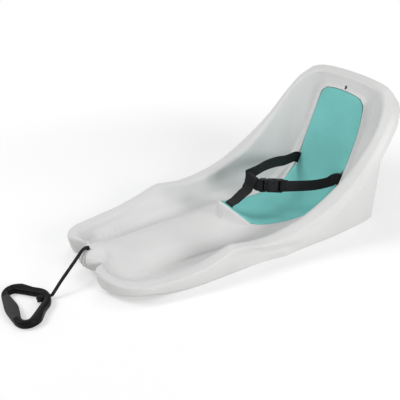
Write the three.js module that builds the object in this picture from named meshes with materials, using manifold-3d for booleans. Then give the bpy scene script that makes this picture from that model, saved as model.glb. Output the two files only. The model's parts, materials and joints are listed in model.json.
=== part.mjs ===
// Baby pull sled: a thin moulded shell with a foam seat pad, a three-point harness and a tow rope with a handle.
// Millimetres, +Z up, the nose towards -Y. The origin is on the ground, in the middle of the sled and its handle.
import * as THREE from 'three';
import { mergeVertices } from 'three/addons/utils/BufferGeometryUtils.js';
import Module from 'manifold-3d';

const wasm = await Module();
wasm.setup();

// Overall size of the shell
const sledLength = 843;
const sledHalfWidth = 216;
const sledHeight = 373;

// Shell sections
const shellWall = 4;
const lipRound = 3;
const browRound = 8;
const rimRound = 6;
const footRound = 12;
const flankRound = 10;
const bandBulgeShare = 0.09;

// Seat pad and its recess
const padThickness = 5;
const padRecess = 5.5;
const padFloorGap = 0.3;
const padSideGap = 0.6;
const padLipWidth = 2.4;
const padLipProud = 1;

// Webbing, its slots and its stops
const strapWidth = 32;
const strapThickness = 1.6;
const strapGap = 0.4;
const strapTail = 14;
const turnTail = 7;
const crotchSlotLength = 37;
const hangSlotWidth = 7;
const stopLength = 46;
const stopDepth = 18;
const stopThickness = 4;
const stopSeatGap = 0.3;
const loopDepth = 10.5;
const strapStep = 8;
const seatSearch = 12;

// Side-release buckle
const buckleHeight = 39;
const buckleThickness = 11;
const maleFrameLength = 15;
const maleShoulderLength = 5;
const barDepth = 4;
const barThickness = 3.6;
const prongLength = 24;
const prongHeight = 4.2;
const prongThickness = 4.4;
const guideHeight = 6;
const buckleFit = 0.3;
const femaleBarFromEnd = 3;
const cavityClearLength = 4;
const sideWindowLength = 13;
const buckleBevel = 1.2;

// Tow rope, its hole and its knots
const ropeDiameter = 8;
const ropeHoleDiameter = 11.6;
const ropeGap = 0.3;
const ropeRise = 4.6;
const knotWrapRadius = 5.2;
const knotTilt = THREE.MathUtils.degToRad(24);

// Pull handle
const handleWidth = 154;
const handleDepth = 102;
const handleThickness = 19;
const handleApexRadius = 46;
const handleCornerRadius = 33;
const handleFarRadius = 120;
const handleBow = 5;
const handleWaist = 2.4;
const handleRound = 6;
const sideBar = 15.5;
const cornerBar = 18;
const gripBar = 23;
const gripBulge = 6.5;
const gripCore = 9;
const fingerApexRadius = 21;
const fingerCornerRadius = 10;
const gripSeamGap = 0.4;
const handleBoreDiameter = 9;
const handleX = 43.7;
const handleApexY = -512.5;

// The shell's rails run from the nose to the back, on the +X side. Each knot is a station number, then its place
// as shares of the half width, of the length from the nose, and of the height. Station 0 is the middle of the
// nose and station 28 the middle of the back.
const railShares = {
  hem: [
    [0, 0, 0.012, 0.064], [1, 0.132, 0.025, 0.061], [2, 0.193, 0.051, 0.051],
    [3, 0.281, 0.039, 0.043], [4, 0.387, 0.018, 0.043], [5, 0.572, 0.036, 0.043],
    [6, 0.695, 0.068, 0.043], [7, 0.774, 0.112, 0.041], [8, 0.787, 0.163, 0.01],
    [9, 0.818, 0.214, 0], [10, 0.836, 0.265, 0], [12, 0.836, 0.366, 0], [14, 0.84, 0.468, 0],
    [15, 0.862, 0.524, 0], [16, 0.888, 0.573, 0], [17, 0.866, 0.62, 0], [19, 0.866, 0.722, 0],
    [21, 0.844, 0.817, 0], [22, 0.827, 0.862, 0], [23, 0.809, 0.908, 0], [24, 0.774, 0.946, 0],
    [25, 0.69, 0.973, 0], [26, 0.536, 0.981, 0], [28, 0, 0.982, 0],
  ],
  belly: [
    [0, 0, 0.006, 0.082], [1, 0.141, 0.021, 0.079], [2, 0.202, 0.048, 0.071],
    [3, 0.29, 0.034, 0.076], [4, 0.396, 0.012, 0.082], [5, 0.589, 0.03, 0.076],
    [6, 0.717, 0.064, 0.071], [7, 0.796, 0.109, 0.066], [8, 0.822, 0.163, 0.056],
    [9, 0.853, 0.214, 0.056], [10, 0.871, 0.265, 0.066], [12, 0.871, 0.366, 0.092],
    [13, 0.809, 0.417, 0.092], [14, 0.774, 0.468, 0.066], [15, 0.787, 0.522, 0.041],
    [16, 0.827, 0.573, 0.046], [17, 0.871, 0.621, 0.066], [18, 0.875, 0.672, 0.097],
    [19, 0.871, 0.723, 0.132], [21, 0.849, 0.818, 0.199], [23, 0.818, 0.906, 0.316],
    [24, 0.783, 0.945, 0.382], [25, 0.699, 0.972, 0.418], [26, 0.545, 0.981, 0.433],
    [28, 0, 0.982, 0.443],
  ],
  tuck: [
    [0, 0, 0.002, 0.099], [1, 0.15, 0.019, 0.099], [2, 0.211, 0.047, 0.097],
    [3, 0.295, 0.032, 0.107], [4, 0.4, 0.009, 0.117], [5, 0.598, 0.028, 0.112],
    [6, 0.726, 0.062, 0.102], [7, 0.809, 0.109, 0.092], [8, 0.844, 0.163, 0.087],
    [9, 0.875, 0.214, 0.092], [10, 0.897, 0.265, 0.107], [11, 0.906, 0.316, 0.138],
    [12, 0.893, 0.366, 0.168], [13, 0.844, 0.417, 0.143], [14, 0.809, 0.468, 0.127],
    [15, 0.822, 0.522, 0.112], [16, 0.858, 0.574, 0.097], [17, 0.906, 0.623, 0.102],
    [18, 0.88, 0.673, 0.183], [19, 0.871, 0.724, 0.252], [20, 0.862, 0.772, 0.318],
    [21, 0.849, 0.818, 0.392], [22, 0.836, 0.862, 0.489], [23, 0.818, 0.905, 0.616],
    [24, 0.783, 0.944, 0.754], [25, 0.704, 0.97, 0.825], [26, 0.55, 0.979, 0.861],
    [27, 0.277, 0.98, 0.876], [28, 0, 0.98, 0.881],
  ],
  lip: [
    [0, 0, 0, 0.117], [1, 0.154, 0.018, 0.117], [2, 0.218, 0.047, 0.117],
    [3, 0.297, 0.029, 0.138], [4, 0.4, 0.006, 0.148], [5, 0.602, 0.027, 0.127],
    [6, 0.73, 0.061, 0.112], [7, 0.814, 0.109, 0.097], [8, 0.853, 0.163, 0.097],
    [9, 0.884, 0.214, 0.102], [10, 0.906, 0.265, 0.122], [11, 0.915, 0.316, 0.158],
    [12, 0.906, 0.366, 0.191], [13, 0.901, 0.417, 0.173], [14, 0.919, 0.468, 0.148],
    [15, 0.941, 0.522, 0.135], [16, 0.963, 0.574, 0.122], [17, 0.985, 0.626, 0.13],
    [18, 0.994, 0.675, 0.181], [19, 0.998, 0.725, 0.242], [20, 0.998, 0.773, 0.308],
    [21, 0.994, 0.82, 0.38], [22, 0.981, 0.865, 0.479], [23, 0.963, 0.908, 0.606],
    [24, 0.928, 0.952, 0.751], [25, 0.831, 0.984, 0.83], [26, 0.642, 0.998, 0.866],
    [27, 0.321, 1, 0.879], [28, 0, 1, 0.884],
  ],
  brow: [
    [0, 0, 0, 0.14], [1, 0.154, 0.018, 0.138], [2, 0.22, 0.051, 0.143],
    [3, 0.292, 0.028, 0.168], [4, 0.396, 0.005, 0.178], [5, 0.602, 0.027, 0.153],
    [6, 0.734, 0.061, 0.13], [7, 0.818, 0.109, 0.117], [8, 0.858, 0.163, 0.117],
    [9, 0.886, 0.214, 0.127], [10, 0.908, 0.265, 0.145], [11, 0.915, 0.316, 0.181],
    [12, 0.91, 0.366, 0.219], [13, 0.908, 0.417, 0.204], [14, 0.948, 0.468, 0.188],
    [15, 0.972, 0.521, 0.191], [16, 0.985, 0.572, 0.209], [17, 0.981, 0.621, 0.242],
    [18, 0.994, 0.672, 0.288], [19, 0.998, 0.723, 0.352], [20, 0.994, 0.772, 0.428],
    [21, 0.967, 0.817, 0.515], [22, 0.941, 0.862, 0.621], [23, 0.91, 0.906, 0.749],
    [24, 0.84, 0.946, 0.866], [25, 0.712, 0.977, 0.948], [26, 0.536, 0.988, 0.981],
    [27, 0.277, 0.99, 0.996], [28, 0, 0.99, 1],
  ],
  inner: [
    [0, 0, 0.002, 0.16], [1, 0.141, 0.021, 0.153], [2, 0.207, 0.059, 0.153], [3, 0.29, 0.043, 0.16],
    [4, 0.396, 0.038, 0.16], [5, 0.515, 0.054, 0.14], [6, 0.616, 0.083, 0.125],
    [7, 0.677, 0.121, 0.115], [8, 0.717, 0.168, 0.117], [9, 0.752, 0.216, 0.127],
    [10, 0.783, 0.267, 0.15], [11, 0.796, 0.316, 0.186], [12, 0.796, 0.366, 0.229],
    [13, 0.792, 0.417, 0.204], [14, 0.8, 0.468, 0.191], [15, 0.809, 0.519, 0.196],
    [16, 0.809, 0.569, 0.214], [17, 0.822, 0.62, 0.247], [18, 0.822, 0.671, 0.298],
    [19, 0.818, 0.722, 0.362], [20, 0.831, 0.772, 0.446], [21, 0.831, 0.817, 0.545],
    [22, 0.827, 0.862, 0.657], [23, 0.8, 0.906, 0.792], [24, 0.704, 0.939, 0.897],
    [25, 0.576, 0.957, 0.942], [26, 0.462, 0.964, 0.95], [27, 0.229, 0.966, 0.955],
    [28, 0, 0.967, 0.956],
  ],
  foot: [
    [0, 0, 0.007, 0.173], [1, 0.128, 0.026, 0.163], [2, 0.193, 0.062, 0.153],
    [3, 0.299, 0.056, 0.082], [4, 0.387, 0.059, 0.056], [5, 0.457, 0.076, 0.043],
    [6, 0.493, 0.1, 0.036], [7, 0.506, 0.132, 0.031], [8, 0.501, 0.172, 0.025],
    [9, 0.515, 0.22, 0.02], [10, 0.528, 0.267, 0.02], [11, 0.545, 0.316, 0.02],
    [12, 0.563, 0.366, 0.02], [13, 0.576, 0.417, 0.02], [14, 0.589, 0.47, 0.02],
    [15, 0.598, 0.521, 0.023], [16, 0.602, 0.572, 0.025], [17, 0.607, 0.622, 0.028],
    [18, 0.607, 0.673, 0.033], [19, 0.607, 0.725, 0.051], [20, 0.602, 0.779, 0.102],
    [21, 0.594, 0.831, 0.194], [22, 0.585, 0.878, 0.321], [23, 0.572, 0.914, 0.499],
    [24, 0.554, 0.943, 0.693], [25, 0.51, 0.959, 0.846], [26, 0.431, 0.964, 0.922],
    [27, 0.22, 0.965, 0.937], [28, 0, 0.965, 0.937],
  ],
  flank: [
    [0, 0, 0.01, 0.18], [1, 0.11, 0.029, 0.171], [2, 0.176, 0.064, 0.155], [3, 0.246, 0.069, 0.092],
    [4, 0.29, 0.078, 0.061], [5, 0.325, 0.096, 0.046], [6, 0.361, 0.116, 0.036],
    [7, 0.391, 0.143, 0.031], [8, 0.422, 0.177, 0.025], [9, 0.44, 0.222, 0.023],
    [10, 0.453, 0.267, 0.02], [11, 0.462, 0.316, 0.02], [12, 0.466, 0.366, 0.02],
    [13, 0.471, 0.421, 0.02], [14, 0.484, 0.479, 0.02], [15, 0.501, 0.526, 0.023],
    [16, 0.515, 0.574, 0.025], [17, 0.519, 0.623, 0.028], [18, 0.519, 0.674, 0.031],
    [19, 0.519, 0.727, 0.046], [20, 0.519, 0.781, 0.092], [21, 0.519, 0.834, 0.178],
    [22, 0.515, 0.88, 0.301], [23, 0.51, 0.918, 0.484], [24, 0.506, 0.945, 0.672],
    [25, 0.466, 0.958, 0.815], [26, 0.378, 0.962, 0.902], [27, 0.185, 0.962, 0.914],
    [28, 0, 0.962, 0.916],
  ],
  shoulder: [
    [0, 0, 0.014, 0.183], [1, 0.088, 0.032, 0.177], [2, 0.136, 0.064, 0.171],
    [3, 0.167, 0.074, 0.148], [4, 0.193, 0.086, 0.127], [5, 0.22, 0.105, 0.115],
    [6, 0.246, 0.129, 0.102], [7, 0.273, 0.156, 0.092], [8, 0.299, 0.188, 0.087],
    [9, 0.321, 0.231, 0.089], [10, 0.334, 0.272, 0.089], [11, 0.343, 0.318, 0.084],
    [12, 0.352, 0.369, 0.079], [13, 0.361, 0.434, 0.076], [13.3, 0.369, 0.52, 0.087],
    [13.8, 0.369, 0.538, 0.089], [14.4, 0.378, 0.554, 0.087], [15, 0.394, 0.572, 0.079],
    [16, 0.405, 0.61, 0.064], [17, 0.409, 0.644, 0.053], [18, 0.413, 0.681, 0.048],
    [19, 0.422, 0.727, 0.051], [20, 0.431, 0.781, 0.074], [20.6, 0.44, 0.818, 0.104],
    [21, 0.444, 0.847, 0.163], [21.4, 0.446, 0.865, 0.224], [22.1, 0.446, 0.883, 0.326],
    [23, 0.446, 0.909, 0.481], [24, 0.438, 0.936, 0.667], [24.6, 0.427, 0.943, 0.754],
    [25, 0.405, 0.949, 0.825], [25.5, 0.352, 0.952, 0.856], [26, 0.264, 0.954, 0.866],
    [27, 0.132, 0.955, 0.872], [28, 0, 0.956, 0.875],
  ],
  padEdge: [
    [0, 0, 0.017, 0.187], [0.4, 0.04, 0.023, 0.185], [0.8, 0.055, 0.029, 0.183],
    [2, 0.084, 0.063, 0.181], [3, 0.101, 0.076, 0.171], [4, 0.123, 0.092, 0.155],
    [5, 0.145, 0.114, 0.143], [6, 0.167, 0.139, 0.127], [7, 0.189, 0.167, 0.115],
    [8, 0.211, 0.197, 0.112], [9, 0.233, 0.242, 0.12], [10, 0.242, 0.277, 0.112],
    [11, 0.251, 0.319, 0.107], [12, 0.264, 0.369, 0.099], [13, 0.286, 0.441, 0.097],
    [13.2, 0.317, 0.517, 0.102], [13.45, 0.33, 0.524, 0.112], [13.62, 0.323, 0.53, 0.112],
    [13.7, 0.321, 0.532, 0.111], [14, 0.334, 0.54, 0.106], [14.4, 0.35, 0.551, 0.099],
    [15, 0.365, 0.569, 0.089], [16, 0.378, 0.609, 0.073], [17, 0.38, 0.643, 0.064],
    [18, 0.385, 0.68, 0.056], [19, 0.394, 0.726, 0.057], [20, 0.405, 0.78, 0.078],
    [20.6, 0.413, 0.817, 0.107], [21, 0.418, 0.846, 0.163], [21.4, 0.42, 0.864, 0.224],
    [22.1, 0.42, 0.882, 0.326], [23, 0.42, 0.907, 0.479], [24, 0.411, 0.934, 0.665],
    [24.6, 0.4, 0.942, 0.749], [25, 0.38, 0.946, 0.81], [25.5, 0.33, 0.949, 0.843],
    [26, 0.246, 0.95, 0.855], [27, 0.123, 0.952, 0.862], [28, 0, 0.952, 0.865],
  ],
  spine: [
    [0, 0, 0.023, 0.19], [0.8, 0, 0.034, 0.191], [2, 0, 0.06, 0.19], [3, 0, 0.076, 0.186],
    [4, 0, 0.095, 0.176], [5, 0, 0.117, 0.163], [6, 0, 0.143, 0.145], [7, 0, 0.171, 0.129],
    [8, 0, 0.2, 0.127], [8.6, 0, 0.229, 0.143], [9, 0, 0.247, 0.143], [10, 0, 0.28, 0.13],
    [11, 0, 0.319, 0.122], [12, 0, 0.369, 0.117], [13, 0, 0.434, 0.12], [13.2, 0, 0.459, 0.132],
    [13.45, 0, 0.463, 0.245], [13.62, 0, 0.469, 0.25], [13.7, 0, 0.471, 0.248],
    [14, 0, 0.49, 0.217], [14.6, 0, 0.522, 0.15], [15, 0, 0.543, 0.102], [15.7, 0, 0.578, 0.061],
    [16.5, 0, 0.617, 0.046], [17.3, 0, 0.654, 0.041], [18, 0, 0.688, 0.041], [19, 0, 0.732, 0.043],
    [19.6, 0, 0.761, 0.051], [20, 0, 0.784, 0.061], [20.6, 0, 0.817, 0.097], [21, 0, 0.841, 0.148],
    [21.4, 0, 0.859, 0.209], [22.1, 0, 0.882, 0.326], [23, 0, 0.901, 0.479], [24, 0, 0.915, 0.596],
    [25, 0, 0.928, 0.693], [26, 0, 0.937, 0.759], [27, 0, 0.943, 0.8], [28, 0, 0.945, 0.82],
  ],
};

// Stations of the cross sections. They close up where the pommel, the recess and the slots turn.
const sectionStationShares = [
  0, 0.4, 0.8, 1.4, 2, 2.5, 3, 3.5, 4, 4.5, 5, 5.6, 6.3, 7, 8, 9, 10, 11, 12, 12.7, 13.2, 13.45, 13.62,
  13.7, 14, 14.2, 14.32, 14.6, 15, 15.8, 17, 18, 19, 20, 20.6, 21.4, 22.1, 23, 24, 25, 25.7, 26.4, 27.2, 28,
];
const recessStationShare = 13.7;
const ropeHoleEndShare = 0.8;
const crotchSlotShares = [14.2, 14.32];
const beltSlotShares = [21.4, 22.1];
const hangSlotStartShare = 27.2;

// Rows of a cross section between its rails, as shares of the way along them.
const wallRowShares = [{ down: 0.4, across: 0.24 }, { down: 0.74, across: 0.58 }];
const flankRowShare = { up: 0.56, across: 0.44 };
const slotOuterShares = [[0, 0.963], [24, 0.963], [26, 0.9], [28, 0.84]];
const slotInnerShares = [[0, 0.912], [24, 0.912], [26, 0.8], [28, 0.68]];
const chamferLimitShare = 0.4;
const crestDropShare = 0.35;
// How far the row beside the middle line stands out, as a share of the pad edge, and how round the pan is there.
const centreRowShares = [[0, 0.5], [0.8, 0.42], [3, 0.3], [13, 0.3], [14, 0.25], [15, 0.25], [28, 0.25]];
const panPowerShares = [
  [0, 2], [13, 2], [13.45, 1.3], [14, 1.5], [15, 2], [22, 2], [24, 1.6], [26, 1], [28, 1],
];

// Routes of the webbing, as shares of the half width, the length and the height.
const leftStrapShares = [
  [-0.339, 0.799, 0.303], [-0.29, 0.743, 0.329], [-0.237, 0.69, 0.341], [-0.176, 0.64, 0.341],
  [-0.16, 0.611, 0.338], [-0.151, 0.5935, 0.334], [-0.095, 0.5968, 0.322], [-0.045, 0.602, 0.312],
];
const buckleStartShares = [0.022, 0.618, 0.288];
const buckleEndShares = [0.185, 0.683, 0.283];
const rightStrapShares = [[0.242, 0.742, 0.26], [0.295, 0.796, 0.248], [0.356, 0.845, 0.263]];
const crotchStrapShares = [[-0.002, 0.528, 0.212], [-0.01, 0.547, 0.232], [-0.02, 0.564, 0.248], [-0.034, 0.579, 0.259]];
const crotchLoopShares = [-0.058, 0.6012, 0.315];
const loopTurn = THREE.MathUtils.degToRad(17);
const loopTilt = THREE.MathUtils.degToRad(19);

// Route of the tow rope from the nose to the handle, in real places.
const ropeRoute = [
  [0.6, -404, 76.2], [2.4, -411.5, 74.6], [5.6, -419.5, 70.2], [9.6, -428, 64.4], [14.2, -438, 58.1],
  [18.9, -448, 52], [23.5, -458, 45.8], [28, -468, 39.6], [32.3, -478, 33.2], [36.4, -487, 27],
  [39.8, -495, 20.8], [42.2, -501.5, 15.4],
];

// Meshing
const meshSeam = 1e-6;
const weldTolerance = 1e-4;
const mitreFloorShare = 0.7;
const stationStepShare = 0.05;

// Colours
const shellWhite = 0xf2f2f0;
const padTeal = 0x73beb9;
const webbingBlack = 0x17181a;
const buckleBlack = 0x1b1c1e;
const handleBlack = 0x151618;
const gripGrey = 0x3a3b3d;

const UP = new THREE.Vector3(0, 0, 1);

/** Point at shares of the sled's half width, length and height. */
function sledPoint([acrossShare, alongShare, upShare]) {
  return new THREE.Vector3(
    acrossShare * sledHalfWidth,
    (alongShare - 0.5) * sledLength,
    upShare * sledHeight,
  );
}

/** Smooth curve of one value through [station, value] knots that never overshoots between two of them. */
function monotone(knots) {
  const steps = knots.slice(1).map(([s, v], i) => ({ h: s - knots[i][0], d: (v - knots[i][1]) / (s - knots[i][0]) }));
  const slopes = knots.map((_, i) => {
    const before = steps[i - 1];
    const after = steps[i];
    if (!before || !after) return (before ?? after).d;
    if (before.d * after.d <= 0) return 0;
    const weightBefore = 2 * after.h + before.h;
    const weightAfter = after.h + 2 * before.h;
    return (weightBefore + weightAfter) / (weightBefore / before.d + weightAfter / after.d);
  });
  return (station) => {
    let i = 0;
    while (i < steps.length - 1 && station > knots[i + 1][0]) i += 1;
    const { h, d } = steps[i];
    const t = (station - knots[i][0]) / h;
    const bend = (slopes[i] - d) * (1 - t) - (slopes[i + 1] - d) * t;
    return knots[i][1] + t * (h * d) + t * (1 - t) * h * bend;
  };
}

/** Rail of the shell: a function from a station to its point. */
function rail(knots) {
  const axes = [1, 2, 3].map((axis) => monotone(knots.map((knot) => [knot[0], knot[axis]])));
  return (station) => sledPoint(axes.map((axis) => axis(station)));
}

const rails = Object.fromEntries(Object.entries(railShares).map(([name, knots]) => [name, rail(knots)]));
const centreRow = monotone(centreRowShares);
const panPower = monotone(panPowerShares);
const slotOuterRow = monotone(slotOuterShares);
const slotInnerRow = monotone(slotInnerShares);

/** Point a distance from a towards b, at most chamferLimitShare of the way. */
function toward(a, b, distance) {
  const reach = a.distanceTo(b);
  return a.clone().lerp(b, Math.min(distance / reach, chamferLimitShare));
}

/** Outward direction in plan of a rail at a station. */
function planNormal(name, station) {
  const step = stationStepShare;
  const last = sectionStationShares.at(-1);
  const ahead = rails[name](Math.min(station + step, last));
  const behind = rails[name](Math.max(station - step, 0));
  if (station === 0) return new THREE.Vector3(0, -1, 0);
  if (station === last) return new THREE.Vector3(0, 1, 0);
  return new THREE.Vector3(ahead.y - behind.y, behind.x - ahead.x, 0).normalize();
}

/** Point on the pan or the hump between the spine (share 0) and the pad's edge (share 1). */
function panPoint(station, share) {
  const spine = rails.spine(station);
  const edge = rails.padEdge(station);
  const rise = share ** panPower(station);
  return new THREE.Vector3(share * edge.x, spine.y + rise * (edge.y - spine.y), spine.z + rise * (edge.z - spine.z));
}

/** One cross section of the shell's upper skin, from the hem outside to the spine, without the recess. */
function crossSection(station) {
  const at = Object.fromEntries(Object.entries(rails).map(([name, curve]) => [name, curve(station)]));
  const band = at.lip.clone().lerp(at.brow, 0.5);
  band.addScaledVector(planNormal('lip', station), bandBulgeShare * at.lip.distanceTo(at.brow));
  const wall = wallRowShares.map(({ down, across }) => new THREE.Vector3(
    THREE.MathUtils.lerp(at.inner.x, at.foot.x, across),
    THREE.MathUtils.lerp(at.inner.y, at.foot.y, across),
    THREE.MathUtils.lerp(at.inner.z, at.foot.z, down),
  ));
  const flank = new THREE.Vector3(
    THREE.MathUtils.lerp(at.flank.x, at.shoulder.x, flankRowShare.across),
    THREE.MathUtils.lerp(at.flank.y, at.shoulder.y, flankRowShare.across),
    THREE.MathUtils.lerp(at.flank.z, at.shoulder.z, flankRowShare.up),
  );
  const centre = centreRow(station);
  const browOut = toward(at.brow, at.lip, browRound);
  const browIn = toward(at.brow, at.inner, browRound);
  return {
    hem: at.hem,
    belly: at.belly,
    tuck: at.tuck,
    lipLow: toward(at.lip, at.tuck, lipRound),
    lipHigh: toward(at.lip, at.brow, lipRound),
    band,
    browOut,
    brow: at.brow.clone().lerp(browOut.clone().lerp(browIn, 0.5), crestDropShare),
    browIn,
    rimOut: toward(at.inner, at.brow, rimRound),
    rimIn: toward(at.inner, at.foot, rimRound),
    wallHigh: wall[0],
    wallLow: wall[1],
    footOut: toward(at.foot, at.inner, footRound),
    footIn: toward(at.foot, at.flank, footRound),
    flankLow: toward(at.flank, at.foot, flankRound),
    flankHigh: toward(at.flank, at.shoulder, flankRound),
    flankMid: flank,
    shoulder: at.shoulder,
    padLip: toward(at.padEdge, at.shoulder, padLipWidth / 2),
    panEdge: at.padEdge,
    slotOuter: panPoint(station, slotOuterRow(station)),
    slotInner: panPoint(station, slotInnerRow(station)),
    middle: panPoint(station, (slotInnerRow(station) + centre) / 2),
    centre: panPoint(station, centre),
    spine: at.spine,
  };
}

const sections = sectionStationShares.map(crossSection);
const rowNames = Object.keys(sections[0]);
const rowOf = (name) => rowNames.indexOf(name);
const columnOf = (station) => sectionStationShares.indexOf(station);

/** Grid of points [row][column] of the upper skin, with its holes drawn to their true shape. */
function upperGrid() {
  const grid = rowNames.map((name) => sections.map((section) => section[name].clone()));
  shapeRopeHole(grid);
  shapeCrotchSlot(grid);
  shapeHangSlot(grid);
  return grid;
}

/** The rope hole is a hexagon about the spine, round the grid's corner points. */
function shapeRopeHole(grid) {
  const front = grid[rowOf('centre')][0];
  const back = grid[rowOf('spine')][columnOf(ropeHoleEndShare)];
  const centreY = (grid[rowOf('spine')][0].y + back.y) / 2;
  const side = ropeHoleDiameter / 2;
  front.y = centreY - side;
  back.y = centreY + side;
  [1, columnOf(ropeHoleEndShare)].forEach((column, i) => {
    const corner = grid[rowOf('centre')][column];
    corner.x = side * Math.cos(Math.PI / 6);
    corner.y = centreY + (i === 0 ? -side / 2 : side / 2);
  });
}

/** The crotch slot is straight across, so that flat webbing passes. */
function shapeCrotchSlot(grid) {
  crotchSlotShares.forEach((station) => {
    const column = columnOf(station);
    grid[rowOf('centre')][column] = grid[rowOf('spine')][column].clone().setX(crotchSlotLength / 2);
  });
}

/** The hang slot at the top of the back is narrow and upright. */
function shapeHangSlot(grid) {
  for (let row = rowOf('flankHigh'); row <= rowOf('shoulder'); row += 1) {
    grid[row][columnOf(hangSlotStartShare)].x = hangSlotWidth / 2;
  }
}

/** Offset directions of a half grid: mitred normals, flat on the mirror plane. */
function gridNormals(grid) {
  const faces = grid.map((line) => line.map(() => []));
  for (let r = 0; r < grid.length - 1; r += 1) {
    for (let c = 0; c < grid[0].length - 1; c += 1) {
      const corners = [[r, c], [r, c + 1], [r + 1, c + 1], [r + 1, c]];
      const [p0, p1, p2, p3] = corners.map(([i, j]) => grid[i][j]);
      const normal = p2.clone().sub(p0).cross(p3.clone().sub(p1)).normalize();
      corners.forEach(([i, j]) => faces[i][j].push(normal));
    }
  }
  return grid.map((line, r) => line.map((point, c) => {
    const sum = faces[r][c].reduce((total, normal) => total.add(normal), new THREE.Vector3());
    if (point.x < meshSeam) sum.x = 0;
    sum.normalize();
    const facing = faces[r][c].map((normal) => normal.dot(sum));
    const mitre = facing.reduce((total, value) => total + value, 0) / facing.length;
    return { direction: sum, stretch: 1 / Math.max(mitre, mitreFloorShare) };
  }));
}

/** Half grid moved along its own normals by a depth that may change from point to point. */
function offsetGrid(grid, normals, depthAt) {
  return grid.map((line, r) => line.map((point, c) => {
    const { direction } = normals[r][c];
    return point.clone().addScaledVector(direction, -depthAt(r, c));
  }));
}

/** Closed sheet between an upper and a lower half grid, mirrored about x = 0, with walls at each open edge. */
function mirroredSheet(upper, lower, isOpen) {
  const columns = upper[0].length;
  const count = upper.length * columns;
  const id = (r, c, mirrored) => r * columns + c + (mirrored && upper[r][c].x > meshSeam ? count : 0);
  const quads = [];
  for (let r = 0; r < upper.length - 1; r += 1) {
    for (let c = 0; c < columns - 1; c += 1) {
      if (isOpen(r, c)) continue;
      quads.push([id(r, c), id(r, c + 1), id(r + 1, c + 1), id(r + 1, c)]);
      quads.push([id(r, c, true), id(r + 1, c, true), id(r + 1, c + 1, true), id(r, c + 1, true)]);
    }
  }
  const edges = new Set();
  quads.forEach((quad) => quad.forEach((a, i) => edges.add(`${a} ${quad[(i + 1) % 4]}`)));
  const below = 2 * count;
  const faces = quads.flatMap((quad) => {
    const [a, b, c, d] = quad.map((corner) => corner + below);
    return [quad, [a, d, c, b]];
  });
  quads.forEach((quad) => quad.forEach((a, i) => {
    const b = quad[(i + 1) % 4];
    if (!edges.has(`${b} ${a}`)) faces.push([b, a, a + below, b + below]);
  }));
  const points = [upper, lower].flatMap((grid) => {
    const half = grid.flat();
    return [...half, ...half.map((p) => new THREE.Vector3(-p.x, p.y, p.z))];
  });
  const geometry = new THREE.BufferGeometry().setFromPoints(points);
  geometry.setIndex(faces.flatMap(([a, b, c, d]) => [a, b, c, a, c, d]));
  return geometry;
}

/** True for the grid cells that a hole or slot leaves open. */
function isOpenCell(row, column) {
  const inSpan = ([from, to]) => column >= columnOf(from) && column < columnOf(to);
  const ropeHole = row === rowOf('centre') && column < columnOf(ropeHoleEndShare);
  const crotchSlot = row === rowOf('centre') && inSpan(crotchSlotShares);
  const beltSlot = row === rowOf('slotOuter') && inSpan(beltSlotShares);
  const hangSlot = row >= rowOf('flankHigh') && row < rowOf('shoulder') && column === columnOf(hangSlotStartShare);
  return ropeHole || crotchSlot || beltSlot || hangSlot;
}

const skin = upperGrid();
const skinNormals = gridNormals(skin);
const isSunk = (row, column) => row >= rowOf('panEdge') && column >= columnOf(recessStationShare);

/** The shell's two skins: an even wall apart, sunk under the pad, with a flat hem. */
function shellSkinPair() {
  const lipStart = columnOf(recessStationShare) - 1;
  const upper = offsetGrid(skin, skinNormals, (r, c) => {
    if (isSunk(r, c)) return padRecess;
    const onLip = (r === rowOf('padLip') && c >= lipStart) || (c === lipStart && r >= rowOf('padLip'));
    return onLip ? -padLipProud : 0;
  });
  const normals = gridNormals(upper);
  const lower = offsetGrid(upper, normals, (r, c) => shellWall * normals[r][c].stretch);
  upper[0].forEach((hem, column) => {
    const flat = normals[0][column].direction.clone().setZ(0).normalize();
    lower[0][column].copy(hem).addScaledVector(flat, -shellWall);
  });
  const holeBack = columnOf(ropeHoleEndShare);
  const holeCorners = [[rowOf('spine'), holeBack], ...[0, 1, holeBack].map((column) => [rowOf('centre'), column])];
  holeCorners.forEach(([row, column]) => {
    lower[row][column].setX(upper[row][column].x).setY(upper[row][column].y);
  });
  return { upper, lower };
}
const shellSkins = shellSkinPair();

/** The foam pad fills the recess, with a notch at each belt slot and a slot for the crotch strap. */
function padGeometry() {
  const firstRow = rowOf('panEdge');
  const firstColumn = columnOf(recessStationShare);
  const cut = (grid) => grid.slice(firstRow).map((line) => line.slice(firstColumn));
  const base = cut(skin).map((line) => line.map((point) => point.clone()));
  const normals = cut(skinNormals);
  base[0].forEach((point, c) => {
    point.copy(toward(point, base[1][c], padSideGap));
  });
  base.forEach((line) => {
    line[0].copy(toward(line[0], line[1], padSideGap));
  });
  const bottomDepth = padRecess - padFloorGap;
  const lower = offsetGrid(base, normals, () => bottomDepth);
  const upper = offsetGrid(base, normals, () => bottomDepth - padThickness);
  return mirroredSheet(upper, lower, (r, c) => {
    const row = r + firstRow;
    const column = c + firstColumn;
    const notch = row === firstRow && column >= columnOf(beltSlotShares[0]) && column < columnOf(beltSlotShares[1]);
    return notch || isOpenCell(row, column);
  });
}

/** Solid of a closed geometry, for joining and cutting. */
function solid(geometry) {
  const bare = geometry.clone();
  bare.deleteAttribute('normal');
  bare.deleteAttribute('uv');
  const merged = mergeVertices(bare, weldTolerance);
  return new wasm.Manifold(new wasm.Mesh({
    numProp: 3,
    vertProperties: merged.attributes.position.array,
    triVerts: new Uint32Array(merged.index.array),
  }));
}

/** Geometry of a solid. */
function shaped(body) {
  const { vertProperties, triVerts } = body.getMesh();
  const geometry = new THREE.BufferGeometry();
  geometry.setAttribute('position', new THREE.BufferAttribute(new Float32Array(vertProperties), 3));
  geometry.setIndex([...triVerts]);
  return geometry;
}

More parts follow.
